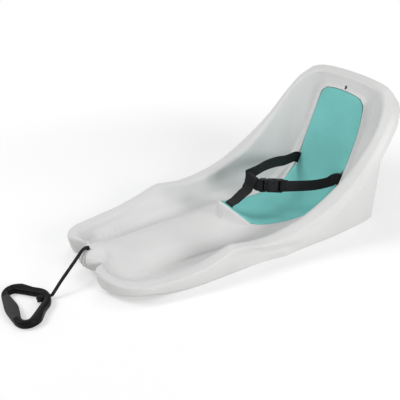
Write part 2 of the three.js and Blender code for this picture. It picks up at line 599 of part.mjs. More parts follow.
/** Flat ribbon along a list of points, with the direction of its width at each. */
function ribbon(points, widths) {
  const rings = points.map((point, i) => {
    const ahead = points[Math.min(i + 1, points.length - 1)];
    const behind = points[Math.max(i - 1, 0)];
    const tangent = ahead.clone().sub(behind).normalize();
    const across = widths[i].clone().addScaledVector(tangent, -widths[i].dot(tangent)).normalize();
    const thick = tangent.clone().cross(across);
    return [[1, 1], [-1, 1], [-1, -1], [1, -1]].map(([w, t]) => point.clone()
      .addScaledVector(across, w * strapWidth / 2)
      .addScaledVector(thick, t * strapThickness / 2));
  });
  const faces = [];
  for (let i = 0; i < rings.length - 1; i += 1) {
    for (let k = 0; k < 4; k += 1) {
      const next = (k + 1) % 4;
      faces.push([4 * i + k, 4 * i + next, 4 * i + 4 + next, 4 * i + 4 + k]);
    }
  }
  const last = 4 * (rings.length - 1);
  faces.push([3, 2, 1, 0], [last, last + 1, last + 2, last + 3]);
  const geometry = new THREE.BufferGeometry().setFromPoints(rings.flat());
  geometry.setIndex(faces.flatMap(([a, b, c, d]) => [a, b, c, a, c, d]));
  return geometry;
}

/** Points spaced evenly along a smooth curve through the given ones. */
function smoothRoute(points, step) {
  const curve = new THREE.CatmullRomCurve3(points, false, 'centripetal');
  return curve.getSpacedPoints(Math.max(2, Math.round(curve.getLength() / step)));
}

/** Mean place and outward direction of a slot in the skin, on one side. */
function slotFrame(row, spanShares, sideSign) {
  const cells = spanShares.flatMap((station) => [[row, columnOf(station)], [row + 1, columnOf(station)]]);
  const place = new THREE.Vector3();
  const outward = new THREE.Vector3();
  cells.forEach(([r, c]) => {
    place.add(skin[r][c]);
    outward.add(skinNormals[r][c].direction);
  });
  place.divideScalar(cells.length);
  place.x *= sideSign;
  outward.x *= sideSign;
  return { place, outward: outward.normalize() };
}

/** Turn of webbing round a buckle bar, from a route that arrives along the buckle's axis. */
function turnRoundBar(bar, along, thick) {
  const radius = barThickness / 2 + strapGap + strapThickness / 2;
  const turn = [];
  const steps = 8;
  for (let i = 0; i <= steps; i += 1) {
    const angle = Math.PI * (i / steps);
    turn.push(bar.clone()
      .addScaledVector(along, radius * Math.sin(angle))
      .addScaledVector(thick, radius * Math.cos(angle)));
  }
  const tail = turn.at(-1).clone().addScaledVector(along, -turnTail);
  return [...turn, tail];
}

const buckleStart = sledPoint(buckleStartShares);
const buckleEnd = sledPoint(buckleEndShares);
const buckleAxis = buckleEnd.clone().sub(buckleStart).normalize();
const buckleLength = buckleEnd.distanceTo(buckleStart);
const buckleUp = UP.clone().addScaledVector(buckleAxis, -UP.dot(buckleAxis)).normalize();
const buckleFace = buckleAxis.clone().cross(buckleUp);

/** Waist strap on one side: from its tail behind the back, through the belt slot, to a turn round its buckle bar. */
function waistStrap(routeShares, sideSign, bar, along) {
  const slot = slotFrame(rowOf('slotOuter'), beltSlotShares, sideSign);
  const through = slot.outward.clone().setX(0).normalize();
  const route = routeShares.map(sledPoint);
  const behind = slot.place.clone().addScaledVector(through, -(padRecess + shellWall + stopThickness + strapTail));
  const front = slot.place.clone().addScaledVector(through, strapTail);
  const middle = sideSign < 0 ? route : [...route].reverse();
  const turn = turnRoundBar(bar, along, buckleFace);
  const arrival = turn[0].clone().addScaledVector(along, -strapWidth / 3);
  const points = [...smoothRoute([behind, slot.place, front, ...middle, arrival], strapStep), ...turn];
  return { geometry: ribbon(points, points.map(() => buckleUp)), slot, through };
}

/** Plate behind the shell that keeps a strap's end from pulling through its slot. */
function stopPlate(place, across, onTail) {
  const outline = new THREE.Shape();
  const halfLength = stopLength / 2;
  const halfDepth = stopDepth / 2;
  const corner = stopThickness / 2;
  outline.moveTo(-halfLength + corner, -halfDepth);
  outline.lineTo(halfLength - corner, -halfDepth);
  outline.quadraticCurveTo(halfLength, -halfDepth, halfLength, -halfDepth + corner);
  outline.lineTo(halfLength, halfDepth - corner);
  outline.quadraticCurveTo(halfLength, halfDepth, halfLength - corner, halfDepth);
  outline.lineTo(-halfLength + corner, halfDepth);
  outline.quadraticCurveTo(-halfLength, halfDepth, -halfLength, halfDepth - corner);
  outline.lineTo(-halfLength, -halfDepth + corner);
  outline.quadraticCurveTo(-halfLength, -halfDepth, -halfLength + corner, -halfDepth);
  const slot = new THREE.Path();
  const slotHalfLength = strapWidth / 2 + strapGap;
  const slotHalfDepth = strapThickness / 2 + strapGap;
  slot.moveTo(-slotHalfLength, -slotHalfDepth);
  slot.lineTo(-slotHalfLength, slotHalfDepth);
  slot.lineTo(slotHalfLength, slotHalfDepth);
  slot.lineTo(slotHalfLength, -slotHalfDepth);
  outline.holes.push(slot);
  const geometry = new THREE.ExtrudeGeometry(outline, { depth: stopThickness, bevelEnabled: false, curveSegments: 4 });
  const frame = new THREE.Matrix4().makeBasis(across, onTail.clone().cross(across), onTail);
  frame.setPosition(place);
  geometry.applyMatrix4(frame);
  return geometry;
}

/** Box between two corners. */
function block(low, high) {
  const size = high.map((value, i) => value - low[i]);
  const geometry = new THREE.BoxGeometry(...size);
  geometry.translate(...low.map((value, i) => value + size[i] / 2));
  return solid(geometry);
}

/** Plate of an outline in the buckle's plane, with softened faces. */
function plate(outline, thickness, bevel) {
  const geometry = new THREE.ExtrudeGeometry(outline, {
    depth: thickness - 2 * bevel,
    bevelEnabled: bevel > 0,
    bevelThickness: bevel,
    bevelSize: bevel,
    bevelOffset: -bevel,
    bevelSegments: 2,
    curveSegments: 5,
  });
  geometry.translate(0, 0, -thickness / 2 + bevel);
  return solid(geometry);
}

/** Rectangle with rounded corners, as an outline. */
function roundedOutline(left, right, halfHeight, radius) {
  const outline = new THREE.Shape();
  outline.moveTo(left + radius, -halfHeight);
  outline.lineTo(right - radius, -halfHeight);
  outline.absarc(right - radius, -halfHeight + radius, radius, -Math.PI / 2, 0, false);
  outline.absarc(right - radius, halfHeight - radius, radius, 0, Math.PI / 2, false);
  outline.absarc(left + radius, halfHeight - radius, radius, Math.PI / 2, Math.PI, false);
  outline.absarc(left + radius, -halfHeight + radius, radius, Math.PI, Math.PI * 1.5, false);
  return outline;
}

const mouth = maleFrameLength + maleShoulderLength;
const barWindow = barThickness + 2 * (strapThickness + 2 * strapGap);
const windowHalfHeight = strapWidth / 2 + strapGap;
const cavityHalfHeight = buckleHeight / 2 - barDepth;

/** Window of a buckle half round its bar, so that the webbing can turn on the bar. */
function barOpening(from, to, barFrom) {
  const thickness = buckleThickness;
  const window = block([from, -windowHalfHeight, -thickness], [to, windowHalfHeight, thickness]);
  const pin = new THREE.CylinderGeometry(barThickness / 2, barThickness / 2, 2 * (windowHalfHeight + strapGap), 10);
  pin.translate(barFrom + barThickness / 2, 0, 0);
  return { window, bar: solid(pin) };
}

/** Male half: the bar frame, a shoulder, two prongs and a guide between them. */
function maleGeometry() {
  const halfHeight = buckleHeight / 2;
  const radius = barDepth;
  const frame = plate(roundedOutline(0, mouth, halfHeight, radius), buckleThickness, buckleBevel);
  const { window, bar } = barOpening(-barDepth, maleFrameLength - barDepth / 2, barDepth);
  const reach = mouth + prongLength;
  const tip = cavityHalfHeight - buckleFit;
  const prong = new THREE.Shape();
  prong.moveTo(mouth - barDepth / 2, tip - 2 * prongHeight);
  prong.lineTo(reach - prongHeight, tip - prongHeight);
  prong.quadraticCurveTo(reach, tip - prongHeight, reach, tip - prongHeight / 2);
  prong.quadraticCurveTo(reach - prongHeight, tip, reach - 2 * prongHeight, tip);
  prong.lineTo(reach - 2.4 * prongHeight, tip - prongHeight / 3);
  prong.lineTo(mouth - barDepth / 2, tip - prongHeight);
  const upper = plate(prong, prongThickness, 0);
  const lower = upper.mirror([0, 1, 0]);
  const guide = block([mouth - barDepth / 2, -guideHeight / 2, -prongThickness / 2],
    [reach - prongHeight, guideHeight / 2, prongThickness / 2]);
  return shaped(frame.subtract(window).add(bar).add(upper).add(lower).add(guide));
}

/** Female half: a housing with a cavity, side windows that show the prongs, and its own bar. */
function femaleGeometry() {
  const halfHeight = buckleHeight / 2;
  const start = mouth + buckleFit;
  const housing = plate(roundedOutline(start, buckleLength, halfHeight, barDepth), buckleThickness, buckleBevel);
  const depth = mouth + prongLength + cavityClearLength;
  const half = prongThickness / 2 + buckleFit;
  const cavity = block([start - barDepth, -cavityHalfHeight, -half], [depth, cavityHalfHeight, half]);
  const windowStart = mouth + prongLength - sideWindowLength;
  const sides = block([windowStart, -buckleHeight, -half], [mouth + prongLength + buckleFit, buckleHeight, half]);
  const barFrom = buckleLength - femaleBarFromEnd - barThickness;
  const { window, bar } = barOpening(barFrom - barWindow, buckleLength + barDepth, barFrom);
  return shaped(housing.subtract(window).subtract(cavity).subtract(sides).add(bar));
}

/** Turned into the buckle's place on the harness. */
function onBuckle(geometry) {
  const frame = new THREE.Matrix4().makeBasis(buckleAxis, buckleUp, buckleFace);
  frame.setPosition(buckleStart);
  geometry.applyMatrix4(frame);
  return geometry;
}

/** Crotch strap: from its tail under the pommel, through its slot, to a fold round the waist strap. */
function crotchStrap() {
  const slot = slotFrame(rowOf('centre'), crotchSlotShares, 1);
  slot.place.x = 0;
  slot.outward.setX(0).normalize();
  const loop = sledPoint(crotchLoopShares);
  const inside = strapWidth / 2 + 2 * strapGap + strapThickness / 2;
  const depth = (loopDepth + strapThickness) / 2;
  const corner = loopDepth / 2;
  const level = new THREE.Vector3(Math.cos(loopTurn), Math.sin(loopTurn), 0);
  const heading = level.clone().multiplyScalar(Math.cos(loopTilt)).addScaledVector(UP, -Math.sin(loopTilt));
  const standing = level.clone().multiplyScalar(Math.sin(loopTilt)).addScaledVector(UP, Math.cos(loopTilt));
  const forward = heading.clone().cross(standing);
  const onLoop = (ahead, up) => loop.clone().addScaledVector(forward, ahead).addScaledVector(standing, up);
  const tail = slot.place.clone().addScaledVector(slot.outward, -(padRecess + shellWall + stopThickness + strapTail));
  const mouthPoint = slot.place.clone().addScaledVector(slot.outward, padRecess);
  const route = crotchStrapShares.map(sledPoint);
  const climb = smoothRoute([tail, slot.place, mouthPoint, ...route, onLoop(depth, corner - inside)], strapStep);
  const over = [];
  const steps = 6;
  for (let i = 0; i <= steps; i += 1) {
    const angle = Math.PI * (i / steps);
    over.push(onLoop(depth * Math.cos(angle), inside - corner + corner * Math.sin(angle)));
  }
  const points = [...climb, ...over, onLoop(-depth, corner - inside), onLoop(-depth / 3, -inside - strapGap)];
  const sideways = new THREE.Vector3(1, 0, 0);
  const turning = (point) => THREE.MathUtils.clamp((point.z - mouthPoint.z) / (loop.z - mouthPoint.z), 0, 1);
  const widths = points.map((point, i) => sideways.clone().lerp(heading, i < climb.length ? turning(point) : 1));
  return { geometry: ribbon(points, widths), slot };
}

/** Stop plate behind a slot, square to the strap that goes through it, seated on the shell's lower skin. */
function stopBehind(slot, through, across) {
  const reach = Math.hypot(stopLength, stopDepth) / 2;
  const depths = shellSkins.lower.flat()
    .map((point) => new THREE.Vector3(Math.abs(slot.place.x) > 0 ? Math.sign(slot.place.x) * point.x : point.x,
      point.y, point.z).sub(slot.place))
    .filter((offset) => offset.lengthSq() < (reach + seatSearch) ** 2)
    .map((offset) => -offset.dot(through));
  const place = slot.place.clone().addScaledVector(through, -(Math.max(...depths) + stopSeatGap + stopThickness));
  return stopPlate(place, across, through);
}

/** Rope knot: two wraps round a core. */
function knot(centre, axis) {
  const radius = ropeDiameter / 2;
  const turn = new THREE.Quaternion().setFromUnitVectors(UP, axis);
  const wraps = [-1, 1].map((side) => {
    const wrap = new THREE.TorusGeometry(knotWrapRadius, radius, 6, 10);
    wrap.rotateX(side * knotTilt);
    wrap.rotateZ(side * knotTilt);
    wrap.applyQuaternion(turn);
    wrap.translate(centre.x, centre.y, centre.z);
    return solid(wrap);
  });
  const core = new THREE.SphereGeometry(knotWrapRadius, 8, 6);
  core.translate(centre.x, centre.y, centre.z);
  return wraps[0].add(wraps[1]).add(solid(core));
}

/** Round rope along a curve. */
function ropeAlong(points, radius) {
  const section = new THREE.Shape();
  section.absarc(0, 0, radius, 0, 2 * Math.PI, false);
  const curve = new THREE.CatmullRomCurve3(points, false, 'centripetal');
  const steps = Math.max(1, Math.round(curve.getLength() / (2 * ropeDiameter)));
  return solid(new THREE.ExtrudeGeometry(section, { steps, curveSegments: 5, extrudePath: curve }));
}

const nosePivot = new THREE.Vector3(0, skinHoleY(), rails.spine(0).z + ropeRise);
const ropeRadius = ropeDiameter / 2;
const handlePivot = new THREE.Vector3(handleX, handleApexY + ropeRadius + 2 * ropeGap, handleThickness / 2);

/** Middle of the rope hole along the sled. */
function skinHoleY() {
  return (skin[rowOf('centre')][0].y + skin[rowOf('spine')][columnOf(ropeHoleEndShare)].y) / 2;
}

/** Rope from over the nose hole to the handle, with a round end at each pivot. */
function towRopeGeometry() {
  const points = [nosePivot, ...ropeRoute.map((point) => new THREE.Vector3(...point)), handlePivot];
  const ends = [nosePivot, handlePivot].map((place) => {
    const ball = new THREE.SphereGeometry(ropeRadius, 8, 6);
    ball.translate(place.x, place.y, place.z);
    return solid(ball);
  });
  return shaped(ropeAlong(points, ropeRadius).add(ends[0]).add(ends[1]));
}

/** Knot under the nose, with the rope's stretch inside the hole. */
function stopKnotGeometry() {
  const top = nosePivot.clone().setZ(nosePivot.z - ropeRadius - ropeGap);
  const under = rails.spine(0).z - shellWall;
  const centre = nosePivot.clone().setZ(under - knotWrapRadius - 2 * ropeRadius);
  return shaped(ropeAlong([top, centre], ropeRadius).add(knot(centre, UP)));
}

/** Outline round circles [x, y, radius, hollow] listed counter-clockwise. A hollow draws in the side after its circle. */
function hullOutline(path, circles) {
  circles.forEach((circle, i) => {
    const [x, y, radius, hollow = 0] = circle;
    const before = circles[(i + circles.length - 1) % circles.length];
    const after = circles[(i + 1) % circles.length];
    const from = tangentAngle(before, circle);
    let to = tangentAngle(circle, after);
    if (to < from) to += 2 * Math.PI;
    path.absarc(x, y, radius, from, to, false);
    if (hollow > 0) {
      const outward = new THREE.Vector2(Math.cos(to), Math.sin(to));
      const end = new THREE.Vector2(after[0], after[1]).addScaledVector(outward, after[2]);
      const middle = new THREE.Vector2(x, y).addScaledVector(outward, radius).add(end).divideScalar(2);
      middle.addScaledVector(outward, -2 * hollow);
      path.quadraticCurveTo(middle.x, middle.y, end.x, end.y);
    }
  });
  return path;
}

/** Direction from a circle's centre to where the outer tangent to the next one touches it. */
function tangentAngle(from, to) {
  const reach = Math.hypot(to[0] - from[0], to[1] - from[1]);
  return Math.atan2(to[1] - from[1], to[0] - from[0]) - Math.acos((from[2] - to[2]) / reach);
}

/** The handle's ring of three rounded bars in its own frame: apex at the origin, depth towards -Y. */
function handleRing() {
  const cornerX = handleWidth / 2 - handleCornerRadius;
  const cornerY = -handleDepth + handleBow + handleCornerRadius;
  const outline = hullOutline(new THREE.Shape(), [
    [0, -handleApexRadius, handleApexRadius, handleWaist],
    [-cornerX, cornerY, handleCornerRadius],
    [0, -handleDepth + handleFarRadius, handleFarRadius],
    [cornerX, cornerY, handleCornerRadius, handleWaist],
  ]);
  const holeX = handleWidth / 2 - cornerBar - fingerCornerRadius;
  const holeY = -handleDepth + gripBar + fingerCornerRadius;
  const hole = hullOutline(new THREE.Path(), [
    [0, -sideBar - fingerApexRadius, fingerApexRadius], [-holeX, holeY, fingerCornerRadius],
    [holeX, holeY, fingerCornerRadius],
  ]);
  outline.holes.push(hole);
  return outline;
}

/** Bar of the ring that the fingers close round, swollen towards the hole. */
function handleGeometries() {
  const ring = roundedSlab(handleRing());
  const bulge = gripSwelling();
  const body = ring.add(bulge);
  const halfWidth = handleWidth / 2;
  const seamX = halfWidth - handleCornerRadius;
  const gripTop = -handleDepth + gripBar + gripBulge + gripSeamGap;
  const zone = block([-seamX, -handleDepth - gripBar, -handleThickness], [seamX, gripTop, handleThickness]);
  const coreY = -handleDepth + (gripBar + handleBow) / 2;
  const coreHalf = gripCore / 2;
  const core = block([-seamX - gripBar / 2, coreY - coreHalf, -coreHalf], [seamX + gripBar / 2, coreY + coreHalf, coreHalf]);
  const bore = new THREE.CylinderGeometry(handleBoreDiameter / 2, handleBoreDiameter / 2, 2 * handleApexRadius, 12);
  const frame = body.subtract(zone).add(core).subtract(solid(bore));
  const sleeveZone = block([-seamX + gripSeamGap, -handleDepth - gripBar, -handleThickness],
    [seamX - gripSeamGap, gripTop, handleThickness]);
  const clear = coreHalf + padFloorGap;
  const tunnel = block([-handleWidth, coreY - clear, -clear], [handleWidth, coreY + clear, clear]);
  const grip = body.intersect(sleeveZone).subtract(tunnel);
  return { frame: onFloor(shaped(frame)), grip: onFloor(shaped(grip)) };
}

/** Slab of the handle's outline with rounded edges. */
function roundedSlab(outline) {
  const geometry = new THREE.ExtrudeGeometry(outline, {
    depth: handleThickness - 2 * handleRound,
    bevelThickness: handleRound,
    bevelSize: handleRound,
    bevelOffset: -handleRound,
    bevelSegments: 2,
    curveSegments: 5,
  });
  geometry.translate(0, 0, -handleThickness / 2 + handleRound);
  return solid(geometry);
}

/** Swelling of the grip bar into the finger hole. */
function gripSwelling() {
  const halfWidth = handleWidth / 2 - handleCornerRadius;
  const low = -handleDepth + 2 * handleBow;
  const edge = -handleDepth + gripBar;
  const outline = new THREE.Shape();
  outline.moveTo(-halfWidth, low);
  outline.lineTo(halfWidth, low);
  outline.lineTo(halfWidth, edge);
  outline.quadraticCurveTo(0, edge + 2 * gripBulge, -halfWidth, edge);
  return roundedSlab(outline);
}

/** Laid on the ground in front of the nose. */
function onFloor(geometry) {
  geometry.translate(handleX, handleApexY, handleThickness / 2);
  return geometry;
}

/** Rope's end through the handle's bore, with the knot that holds it. */
function handleKnotGeometry() {
  const start = new THREE.Vector3(handleX, handlePivot.y - ropeRadius - ropeGap, handlePivot.z);
  const reach = sideBar + knotWrapRadius + 1.5 * ropeRadius;
  const centre = start.clone().setY(handleApexY - reach);
  return shaped(ropeAlong([start, centre], ropeRadius).add(knot(centre, new THREE.Vector3(0, 1, 0))));
}

/** Named mesh with its own finish. */
function piece(name, geometry, color, roughness) {
  const mesh = new THREE.Mesh(geometry, new THREE.MeshStandardMaterial({ color, roughness, metalness: 0 }));
  mesh.name = name;
  geometry.computeVertexNormals();
  return mesh;
}

/** Harness pieces in their places. */
function harness() {
  const barMale = buckleStart.clone().addScaledVector(buckleAxis, barDepth + barThickness / 2);
  const barFemale = buckleStart.clone()
    .addScaledVector(buckleAxis, buckleLength - femaleBarFromEnd - barThickness / 2);
  const left = waistStrap(leftStrapShares, -1, barMale, buckleAxis);
  const right = waistStrap(rightStrapShares, 1, barFemale, buckleAxis.clone().negate());
  const crotch = crotchStrap();
  const sideways = new THREE.Vector3(1, 0, 0);
  const standing = (through) => UP.clone().addScaledVector(through, -UP.dot(through)).normalize();
  return [
    piece('waist_strap_left', left.geometry, webbingBlack, 0.85),
    piece('left_strap_stop', stopBehind(left.slot, left.through, standing(left.through)), buckleBlack, 0.5),
    piece('waist_strap_right', right.geometry, webbingBlack, 0.85),
    piece('right_strap_stop', stopBehind(right.slot, right.through, standing(right.through)), buckleBlack, 0.5),
    piece('crotch_strap', crotch.geometry, webbingBlack, 0.85),
    piece('crotch_strap_stop', stopBehind(crotch.slot, crotch.slot.outward, sideways), buckleBlack, 0.5),
    piece('buckle_male', onBuckle(maleGeometry()), buckleBlack, 0.45),
    piece('buckle_female', onBuckle(femaleGeometry()), buckleBlack, 0.45),
  ];
}

/** Tow line pieces in their places. */
function towLine() {
  const handle = handleGeometries();
  return [
    piece('rope_stop_knot', stopKnotGeometry(), webbingBlack, 0.8),
    piece('tow_rope', towRopeGeometry(), webbingBlack, 0.8),
    piece('handle_knot', handleKnotGeometry(), webbingBlack, 0.8),
    piece('pull_handle', handle.frame, handleBlack, 0.4),
    piece('handle_grip', handle.grip, gripGrey, 0.7),
  ];
}

const sled = new THREE.Group();
sled.add(
  piece('shell', mirroredSheet(shellSkins.upper, shellSkins.lower, isOpenCell), shellWhite, 0.45),
  piece('seat_pad', padGeometry(), padTeal, 0.8),
  ...harness(),
  ...towLine(),
);

// The middle of the whole footprint is the origin.
const footprint = new THREE.Box3().setFromObject(sled);
sled.position.y = -(footprint.min.y + footprint.max.y) / 2;

export default sled;
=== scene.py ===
"""Baby pull sled: a white moulded shell, a teal foam pad, a black harness and a tow rope with a handle.

The fixed frame gives every piece its place. Each class below builds and dresses one sub-assembly of the sled, in
metres, +Z up, with the nose towards -Y.
"""

import heapq
import json
import logging
import math
from collections.abc import Callable, Iterable, Iterator, Sequence
from contextlib import contextmanager
from dataclasses import dataclass, field
from enum import Enum
from functools import partial, reduce

import bmesh
import bpy
import numpy as np
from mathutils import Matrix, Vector
from mathutils.bvhtree import BVHTree

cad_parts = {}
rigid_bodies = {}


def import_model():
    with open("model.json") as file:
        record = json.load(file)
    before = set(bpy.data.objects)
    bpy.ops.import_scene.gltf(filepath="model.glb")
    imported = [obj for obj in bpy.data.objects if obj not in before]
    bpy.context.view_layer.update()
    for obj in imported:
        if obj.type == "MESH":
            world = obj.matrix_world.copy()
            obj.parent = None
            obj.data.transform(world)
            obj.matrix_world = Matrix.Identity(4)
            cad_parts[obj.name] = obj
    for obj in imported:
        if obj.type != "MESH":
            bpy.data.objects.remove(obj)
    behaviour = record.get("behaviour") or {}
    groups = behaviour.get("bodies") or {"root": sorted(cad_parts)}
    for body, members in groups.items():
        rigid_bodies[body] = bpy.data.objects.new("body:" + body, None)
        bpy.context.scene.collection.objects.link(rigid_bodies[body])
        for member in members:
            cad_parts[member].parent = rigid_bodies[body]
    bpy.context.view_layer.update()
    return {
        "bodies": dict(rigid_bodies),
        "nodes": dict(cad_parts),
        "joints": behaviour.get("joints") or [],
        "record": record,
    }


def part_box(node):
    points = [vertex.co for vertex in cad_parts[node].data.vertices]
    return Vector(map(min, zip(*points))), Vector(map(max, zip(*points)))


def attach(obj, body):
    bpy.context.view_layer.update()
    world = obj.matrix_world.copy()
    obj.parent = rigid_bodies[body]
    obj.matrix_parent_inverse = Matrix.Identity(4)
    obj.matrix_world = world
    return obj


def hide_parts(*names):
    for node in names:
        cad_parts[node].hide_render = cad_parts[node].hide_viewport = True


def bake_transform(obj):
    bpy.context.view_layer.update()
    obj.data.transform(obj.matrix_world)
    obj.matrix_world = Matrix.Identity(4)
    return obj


Piece = bpy.types.Object
Socket = bpy.types.NodeSocket
Edge = bmesh.types.BMEdge
Face = bmesh.types.BMFace
Span = tuple[float, float]
Triple = tuple[float, float, float]
Line = Callable[[float], tuple[Vector, Vector]]

LOG = logging.getLogger("pull_sled")
MM = 0.001
MERGE = MM / 1000
ANY = (-math.inf, math.inf)


class Grain(Enum):
    """Pattern space of a finish: the whole object, or the piece's own map."""

    OBJECT = "Object"
    MAP = "UV"


class Nodes:
    """Small builder of one node tree."""

    def __init__(self, owner: bpy.types.Material | bpy.types.World) -> None:
        """Opens the tree of a material or of the world."""
        owner.use_nodes = True
        self.tree = owner.node_tree

    def fill(self, node: bpy.types.Node, values: dict[str | int, object]) -> None:
        """Sets or links a node's inputs.

        Args:
            node: The node.
            values: A value or a socket for each input, by the input's name or place.
        """
        for key, value in values.items():
            if isinstance(value, Socket):
                self.tree.links.new(value, node.inputs[key])
            else:
                node.inputs[key].default_value = value

    def add(self, kind: str, values: dict[str | int, object], output: str | int = 0, **settings: str) -> Socket:
        """Adds a node and fills its inputs.

        Args:
            kind: Blender's name of the node's type, after ShaderNode.
            values: What each input gets.
            output: The name or place of the output to go on with.
            settings: The node's own settings.

        Returns:
            The output.
        """
        node = self.tree.nodes.new(f"ShaderNode{kind}")
        for name, value in settings.items():
            setattr(node, name, value)
        self.fill(node, values)
        return node.outputs[output]

    def end(self, kind: str, surface: Socket) -> None:
        """Joins the tree's surface to a new output node of a kind."""
        self.tree.links.new(surface, self.tree.nodes.new(f"ShaderNode{kind}").inputs[0])


class Shader(Nodes):
    """Builder of one procedural material on a Principled surface."""

    middle_band = (0.3, 0.7)
    bands_per_unit = 20.0

    def __init__(self, name: str, grain: Grain) -> None:
        """Starts a material.

        Args:
            name: The material's name.
            grain: The space that its patterns follow.
        """
        self.material = bpy.data.materials.new(name)
        super().__init__(self.material)
        self.space = self.add("TexCoord", {}, grain.value)

    def noise(self, scale: float, detail: float = 2.0, space: Socket | None = None) -> Socket:
        """Noise of so many features per metre and octaves, in the material's own space or another."""
        return self.add("TexNoise", {"Scale": scale, "Detail": detail, "Vector": space or self.space}, "Fac")

    def cells(self, scale: float) -> Socket:
        """Distance to the nearest cell centre, for foam, with so many cells per metre."""
        return self.add("TexVoronoi", {"Scale": scale, "Vector": self.space}, "Distance")

    def wave(self, pitch: float, direction: str) -> Socket:
        """Even ribs, a pitch in metres apart, that step along an axis or a diagonal."""
        scale = 2.0 * math.pi / (self.bands_per_unit * pitch)
        return self.add("TexWave", {"Scale": scale, "Vector": self.space}, "Fac", bands_direction=direction)

    def both(self, operation: str, first: Socket, second: Socket) -> Socket:
        """Arithmetic on two values."""
        return self.add("Math", {0: first, 1: second}, operation=operation)

    def spread(self, value: Socket, low: float = 0.0, high: float = 1.0) -> Socket:
        """A pattern's middle band stretched to a new range."""
        band = {"From Min": self.middle_band[0], "From Max": self.middle_band[1]}
        return self.add("MapRange", {"Value": value, **band, "To Min": low, "To Max": high}, "Result")

    def blend(self, factor: Socket, low: Triple, high: Triple) -> Socket:
        """Colour between two linear colours."""
        return self.add("Mix", {0: factor, 6: (*low, 1.0), 7: (*high, 1.0)}, 2, data_type="RGBA")

    def relief(self, height: Socket, depth: float, under: Socket | None = None) -> Socket:
        """Bump of a real depth in metres, on top of a coarser one if there is one."""
        coarser = {"Normal": under} if under else {}
        return self.add("Bump", {"Height": height, "Distance": depth, **coarser}, "Normal")

    def finished(self, **values: float | Socket) -> bpy.types.Material:
        """The material, once the surface's own sockets, named with underscores, are filled."""
        self.fill(self.tree.nodes["Principled BSDF"], {name.replace("_", " "): values[name] for name in values})
        return self.material


@dataclass(frozen=True, kw_only=True)
class Finish:
    """What all finishes share: two colours that a pattern mixes, and the plain values of the surface."""

    slot: str
    base: Triple
    tone: Triple
    specular: float = 0.3
    sheen: float = 0.0
    grain: Grain = Grain.OBJECT

    def patterns(self, shader: Shader) -> tuple[Socket, Socket, Socket]:
        """Each finish's own patterns, for its colour, its roughness and its relief."""
        raise NotImplementedError

    def material(self) -> bpy.types.Material:
        """Builds the material.

        Returns:
            The material, named as its slot.
        """
        shader = Shader(self.slot, self.grain)
        tint, gloss, relief = self.patterns(shader)
        return shader.finished(
            Base_Color=shader.blend(tint, self.base, self.tone),
            Roughness=gloss,
            Normal=relief,
            Specular_IOR_Level=self.specular,
            Sheen_Weight=self.sheen,
        )


@dataclass(frozen=True, kw_only=True)
class MouldedFinish(Finish):
    """A moulded finish: clouds of colour, an uneven gloss, and a fine grain that may lie on softer waves.

    Clouds, patches and waves each have a number of features per metre and of octaves.
    """

    clouds: Span
    patches: Span
    roughness: Span
    grain_scale: float
    grain_depth: float = 0.05 * MM
    grain_of_cells: bool = False
    waves: Span | None = None
    wave_depth: float = 0.0

    def patterns(self, shader: Shader) -> tuple[Socket, Socket, Socket]:
        """The three patterns, from the finish's own values.

        Args:
            shader: The material's builder.

        Returns:
            The colour's, roughness's and relief's patterns.
        """
        under = shader.relief(shader.noise(*self.waves), self.wave_depth) if self.waves else None
        grain = (shader.cells if self.grain_of_cells else shader.noise)(self.grain_scale)
        gloss = shader.spread(shader.noise(*self.patches), *self.roughness)
        return shader.spread(shader.noise(*self.clouds)), gloss, shader.relief(grain, self.grain_depth, under)


@dataclass(frozen=True)
class ShellPlastic(MouldedFinish):
    """White moulded plastic with a satin grain, and flow marks along the sled in its gloss."""

    slot: str = "shell_plastic"
    base: Triple = (0.77, 0.77, 0.765)
    tone: Triple = (0.735, 0.735, 0.73)
    specular: float = 0.35
    clouds: Span = (9.0, 4.0)
    patches: Span = (160.0, 3.0)
    roughness: Span = (0.34, 0.42)
    grain_scale: float = 1400.0
    grain_depth: float = 0.04 * MM
    waves: Span | None = (24.0, 2.0)
    wave_depth: float = 0.25 * MM
    flow: Span = (60.0, 3.0)
    flow_stretch: Triple = (1.0, 0.2, 1.0)
    flow_roughness: Span = (-0.02, 0.03)

    def patterns(self, shader: Shader) -> tuple[Socket, Socket, Socket]:
        """The moulded patterns, with the flow marks added to the roughness.

        Args:
            shader: The material's builder.

        Returns:
            The colour's, roughness's and relief's patterns.
        """
        tint, gloss, relief = super().patterns(shader)
        along = shader.add("Mapping", {"Scale": self.flow_stretch, "Vector": shader.space}, "Vector")
        flow = shader.spread(shader.noise(*self.flow, along), *self.flow_roughness)
        return tint, shader.both("ADD", gloss, flow), relief


@dataclass(frozen=True)
class PadFoam(MouldedFinish):
    """Teal closed-cell foam: specks in the colour, and fine cells on a soft skin."""

    slot: str = "pad_foam"
    base: Triple = (0.24, 0.68, 0.645)
    tone: Triple = (0.21, 0.615, 0.585)
    clouds: Span = (14.0, 4.0)
    patches: Span = (400.0, 2.0)
    roughness: Span = (0.78, 0.9)
    grain_scale: float = 1100.0
    grain_depth: float = 0.1 * MM
    grain_of_cells: bool = True
    waves: Span | None = (300.0, 3.0)
    wave_depth: float = 0.12 * MM
    specks: Span = (900.0, 1.0)
    speck_strength: float = 0.25

    def patterns(self, shader: Shader) -> tuple[Socket, Socket, Socket]:
        """The moulded patterns, with the specks added to the colour.

        Args:
            shader: The material's builder.

        Returns:
            The colour's, roughness's and relief's patterns.
        """
        tint, gloss, relief = super().patterns(shader)
        specks = shader.spread(shader.noise(*self.specks), -self.speck_strength, self.speck_strength)
        return shader.both("ADD", tint, specks), gloss, relief


